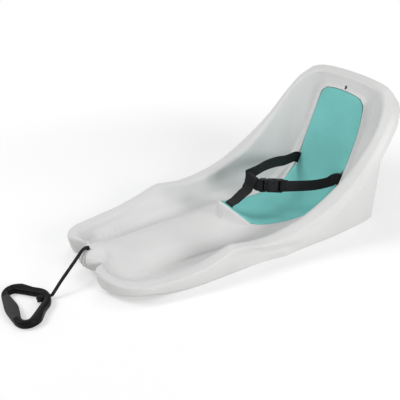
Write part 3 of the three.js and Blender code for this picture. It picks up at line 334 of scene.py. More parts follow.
@dataclass(frozen=True)
class BucklePlastic(MouldedFinish):
    """Black moulded plastic with a fine spark texture."""

    slot: str = "buckle_plastic"
    base: Triple = (0.010, 0.010, 0.011)
    tone: Triple = (0.022, 0.022, 0.024)
    specular: float = 0.22
    clouds: Span = (120.0, 3.0)
    patches: Span = (350.0, 3.0)
    roughness: Span = (0.34, 0.46)
    grain_scale: float = 2200.0


@dataclass(frozen=True)
class HandlePlastic(MouldedFinish):
    """Black handle plastic with a half gloss and faint scuffs."""

    slot: str = "handle_plastic"
    base: Triple = (0.004, 0.004, 0.0043)
    tone: Triple = (0.009, 0.009, 0.0095)
    specular: float = 0.08
    clouds: Span = (90.0, 5.0)
    patches: Span = (220.0, 4.0)
    roughness: Span = (0.24, 0.36)
    grain_scale: float = 1500.0
    grain_depth: float = 0.03 * MM


@dataclass(frozen=True)
class GripRubber(MouldedFinish):
    """Dark grey soft grip, matte, dusty and finely textured."""

    slot: str = "grip_rubber"
    base: Triple = (0.026, 0.026, 0.027)
    tone: Triple = (0.038, 0.038, 0.039)
    specular: float = 0.2
    clouds: Span = (70.0, 4.0)
    patches: Span = (500.0, 2.0)
    roughness: Span = (0.55, 0.68)
    grain_scale: float = 1500.0
    grain_depth: float = 0.06 * MM
    grain_of_cells: bool = True


@dataclass(frozen=True, kw_only=True)
class WovenFinish(Finish):
    """A woven finish that follows the piece: ribs, each a pitch in metres and a direction, under a fuzz."""

    grain: Grain = Grain.MAP
    specular: float = 0.15
    ribs: tuple[tuple[float, str], ...]
    rib_depth: float
    fuzz_scale: float
    fuzz_depth: float
    fuzz_tint: Span | None = None
    roughness: Span

    def patterns(self, shader: Shader) -> tuple[Socket, Socket, Socket]:
        """The three patterns, from the finish's own values.

        Args:
            shader: The material's builder.

        Returns:
            The colour's, roughness's and relief's patterns.
        """
        weave = reduce(partial(shader.both, "MULTIPLY"), [shader.wave(*rib) for rib in self.ribs])
        fuzz = shader.noise(self.fuzz_scale)
        bump = shader.relief(fuzz, self.fuzz_depth, shader.relief(weave, self.rib_depth))
        fuzzy = shader.spread(fuzz, *self.fuzz_tint) if self.fuzz_tint else fuzz
        return shader.both("MULTIPLY", weave, fuzzy), shader.spread(fuzz, *self.roughness), bump


@dataclass(frozen=True)
class Webbing(WovenFinish):
    """Black webbing, of a straight warp and a slanted weft."""

    slot: str = "webbing"
    base: Triple = (0.009, 0.009, 0.010)
    tone: Triple = (0.030, 0.030, 0.032)
    sheen: float = 0.06
    ribs: tuple[tuple[float, str], ...] = ((1.3 * MM, "X"), (1.05 * MM, "DIAGONAL"))
    rib_depth: float = 0.3 * MM
    fuzz_scale: float = 2600.0
    fuzz_depth: float = 0.06 * MM
    fuzz_tint: Span | None = (0.4, 1.2)
    roughness: Span = (0.62, 0.8)


@dataclass(frozen=True)
class BraidedRope(WovenFinish):
    """Black braided cord. The plaits are in the mesh, the yarns in the material."""

    slot: str = "rope"
    base: Triple = (0.007, 0.007, 0.008)
    tone: Triple = (0.024, 0.024, 0.026)
    sheen: float = 0.05
    ribs: tuple[tuple[float, str], ...] = ((0.5 * MM, "DIAGONAL"),)
    rib_depth: float = 0.1 * MM
    fuzz_scale: float = 3000.0
    fuzz_depth: float = 0.05 * MM
    roughness: Span = (0.5, 0.68)


def deselect_all() -> None:
    """Goes back to object mode with nothing selected."""
    active = bpy.context.view_layer.objects.active
    if active is not None and active.mode != "OBJECT":
        bpy.ops.object.mode_set(mode="OBJECT")
    bpy.ops.object.select_all(action="DESELECT")


def pick(piece: Piece) -> None:
    """Makes a piece the only selected one.

    Args:
        piece: The piece.
    """
    deselect_all()
    piece.select_set(True)
    bpy.context.view_layer.objects.active = piece


@contextmanager
def editing(piece: Piece, action: str = "SELECT") -> Iterator[bmesh.types.BMesh]:
    """Edit mode on one piece.

    Args:
        piece: The piece.
        action: SELECT to begin with all of it selected, DESELECT with nothing.

    Yields:
        Its mesh.
    """
    pick(piece)
    bpy.ops.object.mode_set(mode="EDIT")
    bpy.ops.mesh.select_all(action=action)
    yield bmesh.from_edit_mesh(piece.data)
    bpy.ops.object.mode_set(mode="OBJECT")


def choose(piece: Piece, parts: Iterable[Edge | Face], wanted: Callable[[Edge | Face], bool]) -> None:
    """Adds to the selection, in edit mode.

    Args:
        piece: The piece.
        parts: Its edges or faces.
        wanted: Tells which are selected.
    """
    for part in filter(wanted, parts):
        part.select_set(True)
    bmesh.update_edit_mesh(piece.data)


def linked(name: str, data: bpy.types.ID) -> Piece:
    """Puts a new object in the scene.

    Args:
        name: Its name.
        data: Its mesh, lamp or camera.

    Returns:
        The object.
    """
    piece = bpy.data.objects.new(name, data)
    bpy.context.scene.collection.objects.link(piece)
    return piece


def added(name: str) -> Piece:
    """Names the active piece and its mesh.

    Args:
        name: The new name.

    Returns:
        The piece.
    """
    piece = bpy.context.view_layer.objects.active
    piece.name = name
    piece.data.name = name
    return piece


def apply_modifier(piece: Piece, kind: str, **settings: object) -> None:
    """Adds a modifier and applies it.

    Args:
        piece: The piece.
        kind: Blender's name of the modifier's type.
        settings: Its settings.
    """
    pick(piece)
    modifier = piece.modifiers.new(kind.title(), kind)
    for name, value in settings.items():
        setattr(modifier, name, value)
    bpy.ops.object.modifier_apply(modifier=modifier.name)


def subdivide(piece: Piece, levels: int) -> None:
    """Smooths a piece with applied subdivision."""
    apply_modifier(piece, "SUBSURF", levels=levels, render_levels=levels)


def soften(piece: Piece, width: float, degrees: float) -> None:
    """Bevels the edges that are sharper than an angle."""
    angle = math.radians(degrees)
    apply_modifier(piece, "BEVEL", width=width, segments=2, limit_method="ANGLE", angle_limit=angle)


def smooth(piece: Piece, degrees: float) -> None:
    """Shades a piece smooth, with edges sharper than an angle kept."""
    pick(piece)
    bpy.ops.object.shade_smooth_by_angle(angle=math.radians(degrees))


def face_out(piece: Piece) -> None:
    """Turns every face of a closed piece outwards."""
    with editing(piece):
        bpy.ops.mesh.normals_make_consistent(inside=False)


def joined(pieces: Sequence[Piece], name: str) -> Piece:
    """Joins several pieces into one.

    Args:
        pieces: The pieces.
        name: The name of the result.

    Returns:
        The joined piece.
    """
    pick(pieces[0])
    for piece in pieces:
        piece.select_set(True)
    bpy.ops.object.join()
    return added(name)


def copy_of(node: Piece, name: str) -> Piece:
    """A new piece with a frame node's merged mesh.

    Args:
        node: The node of the frame.
        name: The new piece's name.

    Returns:
        The piece.
    """
    piece = linked(name, node.data.copy())
    piece.data.name = name
    piece.data.materials.clear()
    pick(piece)
    bpy.ops.mesh.customdata_custom_splitnormals_clear()
    with editing(piece):
        bpy.ops.mesh.remove_doubles(threshold=MERGE)
    return piece


@dataclass
class QuadJoiner:
    """Joins the loose triangles of a lofted skin back into the four-sided cells that they were split from."""

    seam: float = MERGE
    bias: float = 0.45
    sharp: float = math.radians(62)
    worst: float = 1.2

    def cost(self, edge: Edge) -> float:
        """How far the cell across an edge is from a flat rectangle.

        Args:
            edge: The edge between two triangles.

        Returns:
            The cost in radians.
        """
        start, end = edge.verts
        left, right = (next(v for v in face.verts if v not in edge.verts) for face in edge.link_faces)
        corners = [start.co, left.co, end.co, right.co]
        total = edge.calc_face_angle(math.pi)
        for i, corner in enumerate(corners):
            back = corners[i - 1] - corner
            ahead = corners[(i + 1) % 4] - corner
            total += abs(back.angle(ahead, 0.0) - math.pi / 2) / 4
        return total

    def offers(self, face: Face, diagonal: Edge, cost: dict[Edge, float], taken: set[Face]) -> Iterator[tuple]:
        """Candidate cells beside a settled triangle. Cells repeat their diagonal, and mirror it across the seam.

        Args:
            face: The settled triangle.
            diagonal: Its cell's diagonal.
            cost: The cost of each edge.
            taken: The settled triangles.

        Yields:
            A weight, an order and a diagonal for each candidate.
        """
        for edge in face.edges:
            if edge == diagonal or edge not in cost or edge.calc_face_angle(0.0) > self.sharp:
                continue
            other = next(f for f in edge.link_faces if f != face)
            if other in taken:
                continue
            shared = next(v for v in edge.verts if v in diagonal.verts)
            on_seam = all(abs(v.co.x) < self.seam for v in edge.verts)
            for option in other.edges:
                if option == edge or option not in cost:
                    continue
                expected = (shared in option.verts) == on_seam
                yield cost[option] * (self.bias if expected else 1 / self.bias), option.index, option

    def join(self, piece: Piece) -> None:
        """Joins a piece's triangles, growing from its most certain cells.

        Args:
            piece: The piece.
        """
        mesh = bmesh.new()
        mesh.from_mesh(piece.data)
        mesh.edges.index_update()
        cost = {edge: self.cost(edge) for edge in mesh.edges if len(edge.link_faces) == 2}
        taken: set[Face] = set()
        diagonals = []
        for seed in sorted(cost, key=cost.get):
            if cost[seed] > self.worst:
                break
            heap = [(cost[seed], seed.index, seed)]
            while heap:
                _, _, option = heapq.heappop(heap)
                if any(face in taken for face in option.link_faces):
                    continue
                taken.update(option.link_faces)
                diagonals.append(option)
                for face in option.link_faces:
                    for offer in self.offers(face, option, cost, taken):
                        heapq.heappush(heap, offer)
        bmesh.ops.dissolve_edges(mesh, edges=diagonals, use_verts=False)
        mesh.to_mesh(piece.data)
        mesh.free()


def crease(piece: Piece, share: Callable[[Edge], float]) -> None:
    """Sets how much of each edge a subdivision keeps.

    Args:
        piece: The piece.
        share: Gives an edge's share.
    """
    mesh = bmesh.new()
    mesh.from_mesh(piece.data)
    layer = mesh.edges.layers.float.get("crease_edge") or mesh.edges.layers.float.new("crease_edge")
    for edge in mesh.edges:
        edge[layer] = share(edge)
    mesh.to_mesh(piece.data)
    mesh.free()


def skin_of(piece: Piece) -> BVHTree:
    """Search tree over a piece's faces."""
    return BVHTree.FromPolygons([v.co for v in piece.data.vertices], [p.vertices for p in piece.data.polygons])


def laid_grid(name: str, rows: int, columns: int, place: Callable[[float, float], Vector], size: Span) -> Piece:
    """A grid primitive laid where a function says, with its own map in metres.

    Args:
        name: The piece's name.
        rows: Cells along the piece.
        columns: Cells across it.
        place: Gives a point from the shares along and across, each from 0 to 1.
        size: Real width and length, for the map.

    Returns:
        The piece, one sheet thick.
    """
    deselect_all()
    bpy.ops.mesh.primitive_grid_add(x_subdivisions=columns, y_subdivisions=rows, size=1.0)
    piece = added(name)
    shares = [(v.co.y + 0.5, v.co.x + 0.5) for v in piece.data.vertices]
    for loop, uv in zip(piece.data.loops, piece.data.uv_layers.active.data):
        along, across = shares[loop.vertex_index]
        uv.uv = (across * size[0], along * size[1])
    for vertex, (along, across) in zip(piece.data.vertices, shares):
        vertex.co = place(along, across)
    return piece


@dataclass(frozen=True)
class Strip:
    """A thin domed strip that is laid on a skin, with its foot a little inside it."""

    width: float
    height: float
    sunk_share: float = 1 / 3
    end_rise: float = 6.0
    look_ahead: float = 0.01
    cells: tuple[int, int] = (40, 8)
    map_length: float = 40 * MM

    def lay(self, name: str, line: Line) -> Piece:
        """Lays one strip.

        Args:
            name: Its name.
            line: Gives a point on the skin and the skin's direction at a share of the length.

        Returns:
            The closed strip.
        """
        sunk = self.height * self.sunk_share

        def place(along: float, across: float) -> Vector:
            """Point of the dome, which falls off to both sides and both ends.

            Args:
                along: Share of the length.
                across: Share of the width.

            Returns:
                The point.
            """
            point, normal = line(along)
            beyond, _ = line(along + self.look_ahead)
            side = (beyond - point).cross(normal).normalized()
            rise = min(1.0, self.end_rise * min(along, 1 - along))
            dome = math.cos((across - 0.5) * math.pi) * math.sin(rise * math.pi / 2)
            return point + side * (across - 0.5) * self.width + normal * (dome * (self.height + sunk) - sunk)

        piece = laid_grid(name, *self.cells, place, (self.width, self.map_length))
        face_up = piece.data.polygons[len(piece.data.polygons) // 2]
        _, normal = line(0.5)
        if face_up.normal.dot(normal) < 0:
            piece.data.flip_normals()
        apply_modifier(piece, "SOLIDIFY", thickness=sunk, offset=-1.0)
        return piece

    def row(self, name: str, lines: Sequence[Line]) -> Piece:
        """Lays a strip on each line.

        Args:
            name: The row's name.
            lines: The lines.

        Returns:
            All the strips, as one piece.
        """
        piece = joined([self.lay(f"{name}_{i}", line) for i, line in enumerate(lines)], name)
        smooth(piece, degrees=60)
        return piece


@dataclass
class Route:
    """A smooth line through given points, with a direction across it at each."""

    points: np.ndarray
    across: np.ndarray

    def __post_init__(self) -> None:
        """Measures the line."""
        steps = np.linalg.norm(np.diff(self.points, axis=0), axis=1)
        self.reach = np.concatenate([[0.0], np.cumsum(steps)])
        self.length = float(self.reach[-1])

    def value(self, table: np.ndarray, distance: float) -> tuple[np.ndarray, np.ndarray]:
        """Smooth value of a table of rows, one for each point.

        Args:
            table: The rows.
            distance: Place along the line.

        Returns:
            The value and its slope there.
        """
        last = len(self.reach) - 1
        i = int(np.clip(np.searchsorted(self.reach, distance) - 1, 0, last - 1))
        span = self.reach[i + 1] - self.reach[i]
        t = (distance - self.reach[i]) / span
        slopes = []
        for k in (i, i + 1):
            low, high = max(k - 1, 0), min(k + 1, last)
            slopes.append((table[high] - table[low]) / (self.reach[high] - self.reach[low]) * span)
        a, b = table[i], table[i + 1]
        value = (
            a * (2 * t**3 - 3 * t**2 + 1) + slopes[0] * (t**3 - 2 * t**2 + t)
            + b * (3 * t**2 - 2 * t**3) + slopes[1] * (t**3 - t**2)
        )
        slope = (a - b) * (6 * t**2 - 6 * t) + slopes[0] * (3 * t**2 - 4 * t + 1) + slopes[1] * (3 * t**2 - 2 * t)
        return value, slope

    def frame(self, share: float) -> tuple[Vector, Vector, Vector, Vector]:
        """Place and directions at a share of the length.

        Args:
            share: From 0 to 1.

        Returns:
            The point and the unit directions along, across and out of the line.
        """
        distance = share * self.length
        point, slope = self.value(self.points, distance)
        side, _ = self.value(self.across, distance)
        along = Vector(slope).normalized()
        across = Vector(side)
        across = (across - along * across.dot(along)).normalized()
        return Vector(point), along, across, along.cross(across)

    def frames(self, steps: int) -> list[tuple[Vector, Vector, Vector, Vector]]:
        """Evenly spaced frames from the start to the end."""
        return [self.frame(i / steps) for i in range(steps + 1)]


def flat_route(points: Sequence[Sequence[float]], across: Sequence[float]) -> Route:
    """A route with the same direction across it all along."""
    return Route(np.array(points), np.tile(np.array(across), (len(points), 1)))


@dataclass(frozen=True)
class Zone:
    """A region on both sides of the sled's middle, with x as the distance from the middle."""

    x: Span = ANY
    y: Span = ANY
    z: Span = ANY

    def holds(self, point: Vector) -> bool:
        """Whether a point lies in the region."""
        return all(low < v < high for v, (low, high) in zip((abs(point.x), point.y, point.z), (self.x, self.y, self.z)))


@dataclass
class SubAssembly:
    """What all sub-assemblies share: the frame's nodes, the materials, and the pieces that they have made."""

    nodes: dict[str, Piece]
    materials: dict[str, bpy.types.Material]
    pieces: list[Piece] = field(default_factory=list)

    def dress(self, piece: Piece, finish: Finish, body: str | None, node: str | None = None) -> None:
        """Gives a piece its finish and its place in the mechanism.

        Args:
            piece: The piece.
            finish: Its finish.
            body: The body that it rides on, or None to leave it attached to no body.
            node: The frame node that it stands for, if any.
        """
        piece.data.materials.clear()
        piece.data.materials.append(self.materials[finish.slot])
        if body:
            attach(piece, body)
        if node:
            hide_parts(node)
        self.pieces.append(piece)


@dataclass
class Shell(SubAssembly):
    """The moulded sled body, with its nose ribs and its footwell treads."""

    levels: int = 2
    slot_angle: float = math.radians(50)
    belt_slot: Zone = Zone(x=(0.072, 0.094), y=(0.39, math.inf))
    crotch_slot: Zone = Zone(x=(-math.inf, 0.021), y=(0.078, 0.110))
    hang_slot: Zone = Zone(x=(-math.inf, 0.006), y=(0.46, math.inf), z=(0.322, 0.338))
    panel_angle: float = math.radians(12)
    panel: Zone = Zone(x=(0.096, 0.130), y=(0.42, math.inf), z=(0.14, 0.31))
    crisp_share: float = 0.9
    soft_nose: Zone = Zone(x=(-math.inf, 0.062), y=(-math.inf, -0.22))
    soft_angle: float = math.radians(8)
    firm_angle: float = math.radians(34)
    firm_share: float = 0.8
    rib: Strip = Strip(2.8 * MM, 2.0 * MM)
    rib_turns: tuple[float, ...] = (11.0, 29.0, 47.0)
    rib_fan: float = 0.55
    rib_top: float = 66 * MM
    rib_bottom: float = 27 * MM
    nose_centre: float = -0.286
    nose_clear: float = 0.08
    tread: Strip = Strip(2.4 * MM, 1.3 * MM)
    tread_starts: tuple[float, ...] = (-0.222, -0.205, -0.188, -0.171)
    tread_x: Span = (0.096, 0.134)
    tread_slant: float = 9 * MM
    tread_clear: float = 0.2

    def edge_share(self, edge: Edge) -> float:
        """Keeps the slots straight, the rim firm and the sides of the back panel crisp.

        Args:
            edge: An edge of the skin.

        Returns:
            The share that stays sharp.
        """
        middle = (edge.verts[0].co + edge.verts[1].co) / 2
        bend = edge.calc_face_angle(0.0)
        low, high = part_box("left_strap_stop")
        belt = self.belt_slot.holds(middle) and low.z < middle.z < high.z
        if bend > self.slot_angle and (belt or self.crotch_slot.holds(middle) or self.hang_slot.holds(middle)):
            return self.crisp_share
        if self.soft_nose.holds(middle):
            return 0.0
        if bend > self.panel_angle and self.panel.holds(middle):
            return self.crisp_share
        return self.firm_share * min(1.0, max(0.0, (bend - self.soft_angle) / (self.firm_angle - self.soft_angle)))

    def body(self) -> Piece:
        """Models the shell from its frame node.

        Returns:
            The smooth shell.
        """
        piece = copy_of(self.nodes["shell"], "sled_shell")
        QuadJoiner().join(piece)
        crease(piece, self.edge_share)
        subdivide(piece, self.levels)
        smooth(piece, degrees=60)
        return piece

    def rib_line(self, skin: BVHTree, turn: float, share: float) -> tuple[Vector, Vector]:
        """A rib that fans out from the rope hole down the front of the nose.

        Args:
            skin: The shell's skin.
            turn: The rib's turn from the middle at its foot, in degrees.
            share: Share of its length, from the top.

        Returns:
            The skin's point and direction.
        """
        fan = self.rib_fan + (1 - self.rib_fan) * math.sin(min(share, 1.0) * math.pi / 2)
        angle = math.radians(turn) * fan
        out = Vector((math.sin(angle), -math.cos(angle), 0.0))
        height = self.rib_top + (self.rib_bottom - self.rib_top) * share
        start = Vector((0.0, self.nose_centre, height)) + out * self.nose_clear
        return skin.ray_cast(start, -out)[:2]

    def tread_line(self, skin: BVHTree, start: float, side: int, share: float) -> tuple[Vector, Vector]:
        """A slanted ridge across the floor of a footwell.

        Args:
            skin: The shell's skin.
            start: Where the ridge starts along the sled.
            side: The footwell's side, -1 or 1.
            share: Share of its length, from the hump.

        Returns:
            The skin's point and direction.
        """
        x = side * (self.tread_x[0] + share * (self.tread_x[1] - self.tread_x[0]))
        above = Vector((x, start + share * self.tread_slant, self.tread_clear))
        return skin.ray_cast(above, Vector((0, 0, -1)))[:2]

    def build(self) -> None:
        """Builds and dresses the shell."""
        body = self.body()
        skin = skin_of(body)
        ribs = [partial(self.rib_line, skin, side * turn) for turn in self.rib_turns for side in (-1, 1)]
        treads = [partial(self.tread_line, skin, start, side) for start in self.tread_starts for side in (-1, 1)]
        self.dress(body, ShellPlastic(), "root", "shell")
        self.dress(self.rib.row("nose_ribs", ribs), ShellPlastic(), "root")
        self.dress(self.tread.row("footwell_treads", treads), ShellPlastic(), "root")


@dataclass
class SeatPad(SubAssembly):
    """The foam pad in the shell's recess."""

    levels: int = 3
    rim_angle: float = math.radians(50)
    rim_share: float = 0.45
    shortest: float = 6 * MM
    fill: float = 0.9

    def edge_share(self, edge: Edge) -> float:
        """Keeps the pad's rim, but not the short edges round its corners."""
        rim = edge.calc_face_angle(0.0) > self.rim_angle and edge.calc_length() > self.shortest
        return self.rim_share if rim else 0.0

    def build(self) -> None:
        """Builds and dresses the pad."""
        piece = copy_of(self.nodes["seat_pad"], "foam_seat_pad")
        QuadJoiner().join(piece)
        crease(piece, self.edge_share)
        subdivide(piece, self.levels)
        smooth(piece, degrees=60)
        self.dress(piece, PadFoam(), "root", "seat_pad")


@dataclass
class Harness(SubAssembly):
    """The three straps, the buckle and the stop plates behind the shell."""

    width: float = 32 * MM
    thickness: float = 1.6 * MM
    cells_per_metre: float = 900.0
    cells_across: int = 12
    edge_round: float = 0.55 * MM
    buckle_round: float = 0.5 * MM
    buckle_start: Triple = (0.004752, 0.196057, 0.107424)
    buckle_along: Triple = (0.54034, 0.84096, -0.02862)
    buckle_face: Triple = (0.8413, -0.5406, 0.0)
    ridge: Strip = Strip(1.3 * MM, 0.6 * MM)
    ridge_length: float = 25 * MM
    ridge_clear: float = 30 * MM
    male_ridges: tuple[float, ...] = (14.6 * MM, 16.6 * MM, 18.6 * MM)
    female_ridges: tuple[float, ...] = (23 * MM, 25.2 * MM, 46 * MM, 48.2 * MM)
    male_tail: Span = (-13 * MM, 17 * MM)
    female_tail: Span = (47 * MM, 78 * MM)
    tail_gap: float = 0.4 * MM
    tail_drop: float = 2 * MM
    tail_sag: float = 1.2 * MM
    tail_steps: int = 12
    bend_margin: float = 30 * MM

    def __post_init__(self) -> None:
        """Takes the buckle's place and directions."""
        self.start, self.along, self.face = map(Vector, (self.buckle_start, self.buckle_along, self.buckle_face))
        self.across = self.along.cross(self.face).normalized()

    def strap_line(self, node: str, axis: int, sign: float) -> Route:
        """Reads a strap's middle line from its frame node, ring by ring from its tail.

        Args:
            node: The strap's node.
            axis: The axis along which the tail is the farthest corner.
            sign: 1 where the tail is the highest along it, -1 where it is the lowest.

        Returns:
            The line, with the direction of the strap's width.
        """
        mesh = bmesh.new()
        mesh.from_mesh(self.nodes[node].data)
        bmesh.ops.remove_doubles(mesh, verts=mesh.verts, dist=MERGE)
        mesh.verts.index_update()
        corner = max(mesh.verts, key=lambda v: sign * v.co[axis])
        thin = min(corner.link_edges, key=lambda e: abs(e.calc_length() - self.thickness))
        ring = {corner, thin.other_vert(corner)}
        cap = max((f for f in corner.link_faces if f.normal.length > 0), key=lambda f: sign * f.normal[axis])
        flat = [f for f in mesh.faces if f.normal.angle(cap.normal, math.pi) < math.radians(1)]
        ring |= {v for f in flat if ring & set(f.verts) for v in f.verts}
        seen = set(ring)
        centres, sides = [], []
        while ring:
            block = np.array([v.co for v in sorted(ring, key=lambda v: v.index)])
            centre = block.mean(axis=0)
            side = np.linalg.svd(block - centre)[2][0]
            if sides and float(side @ sides[-1]) < 0:
                side = -side
            centres.append(centre)
            sides.append(side)
            ring = {e.other_vert(v) for v in ring for e in v.link_edges} - seen
            seen |= ring
        mesh.free()
        return Route(np.array(centres), np.array(sides))

    def webbing(self, name: str, route: Route) -> Piece:
        """Webbing of the harness's width along a line.

        Args:
            name: Its name.
            route: The line.

        Returns:
            The closed piece.
        """
        rows = int(route.length * self.cells_per_metre)
        frames = route.frames(rows)

        def place(along: float, across: float) -> Vector:
            """Point of the webbing's middle sheet, at a share of the length and of the width."""
            point, _, side, _ = frames[round(along * rows)]
            return point + side * (across - 0.5) * self.width

        piece = laid_grid(name, rows, self.cells_across, place, (self.width, route.length))
        apply_modifier(piece, "SOLIDIFY", thickness=self.thickness, offset=0.0)
        soften(piece, self.edge_round, degrees=60)
        face_out(piece)
        smooth(piece, degrees=50)
        return piece

    def tail(self, node: str, name: str, span: Span) -> Piece:
        """The short end of a strap, doubled back behind a buckle half.

        Args:
            node: The buckle half's node.
            name: The tail's name.
            span: Where it starts and ends along the buckle.

        Returns:
            The tail.
        """
        back = min((v.co - self.start).dot(self.face) for v in self.nodes[node].data.vertices)
        behind = back - self.tail_gap - self.thickness / 2
        points = []
        for i in range(self.tail_steps + 1):
            share = i / self.tail_steps
            depth = behind - self.tail_sag * math.sin(math.pi * share) ** 2
            points.append(self.start + self.along * (span[0] + (span[1] - span[0]) * share) + self.face * depth)
        lowered = np.array(points) - np.array([0.0, 0.0, self.tail_drop])
        return self.webbing(name, flat_route(lowered, self.across))

    def ridge_line(self, skin: BVHTree, place: float, share: float) -> tuple[Vector, Vector]:
        """A ridge across the front of a buckle half.

        Args:
            skin: The half's skin.
            place: Where the ridge lies along the buckle.
            share: Share of its length.

        Returns:
            The skin's point, and the buckle's front.
        """
        above = self.start + self.along * place + self.across * (share - 0.5) * self.ridge_length
        hit, _, _, _ = skin.ray_cast(above + self.face * self.ridge_clear, -self.face)
        return hit, self.face

    def moulded(self, node: str, name: str) -> Piece:
        """A moulded plastic piece from its frame node, with softened edges.

        Args:
            node: The frame node that it stands for.
            name: Its name.

        Returns:
            The piece.
        """
        piece = copy_of(self.nodes[node], name)
        apply_modifier(piece, "DECIMATE", decimate_type="DISSOLVE", angle_limit=math.radians(2))
        soften(piece, self.buckle_round, degrees=30)
        smooth(piece, degrees=35)
        return piece

    def build(self) -> None:
        """Builds and dresses the harness."""
        straps = (
            ("waist_strap_left", "waist_webbing_left", 1, 1.0, "root"),
            ("waist_strap_right", "waist_webbing_right", 1, 1.0, None),
            ("crotch_strap", "crotch_webbing", 2, -1.0, "root"),
        )
        for node, name, axis, sign, body in straps:
            self.dress(self.webbing(name, self.strap_line(node, axis, sign)), Webbing(), body, node)
        _, right, _ = self.pieces
        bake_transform(right)
        tails = (
            ("buckle_male", "webbing_tail_left", self.male_tail, "root"),
            ("buckle_female", "webbing_tail_right", self.female_tail, "buckle_half"),
        )
        for node, name, span, body in tails:
            self.dress(self.tail(node, name, span), Webbing(), body)
        mouldings = (
            ("buckle_male", "buckle_prong_half", "root", self.male_ridges),
            ("buckle_female", "buckle_socket_half", "buckle_half", self.female_ridges),
            ("left_strap_stop", "belt_stop_left", "root", ()),
            ("right_strap_stop", "belt_stop_right", "root", ()),
            ("crotch_strap_stop", "crotch_stop", "root", ()),
        )
        for node, name, body, places in mouldings:
            piece = self.moulded(node, name)
            self.dress(piece, BucklePlastic(), body, node)
            skin = skin_of(piece)
            lines = [partial(self.ridge_line, skin, place) for place in places]
            if lines:
                self.dress(self.ridge.row(f"{name}_ridges", lines), BucklePlastic(), body)


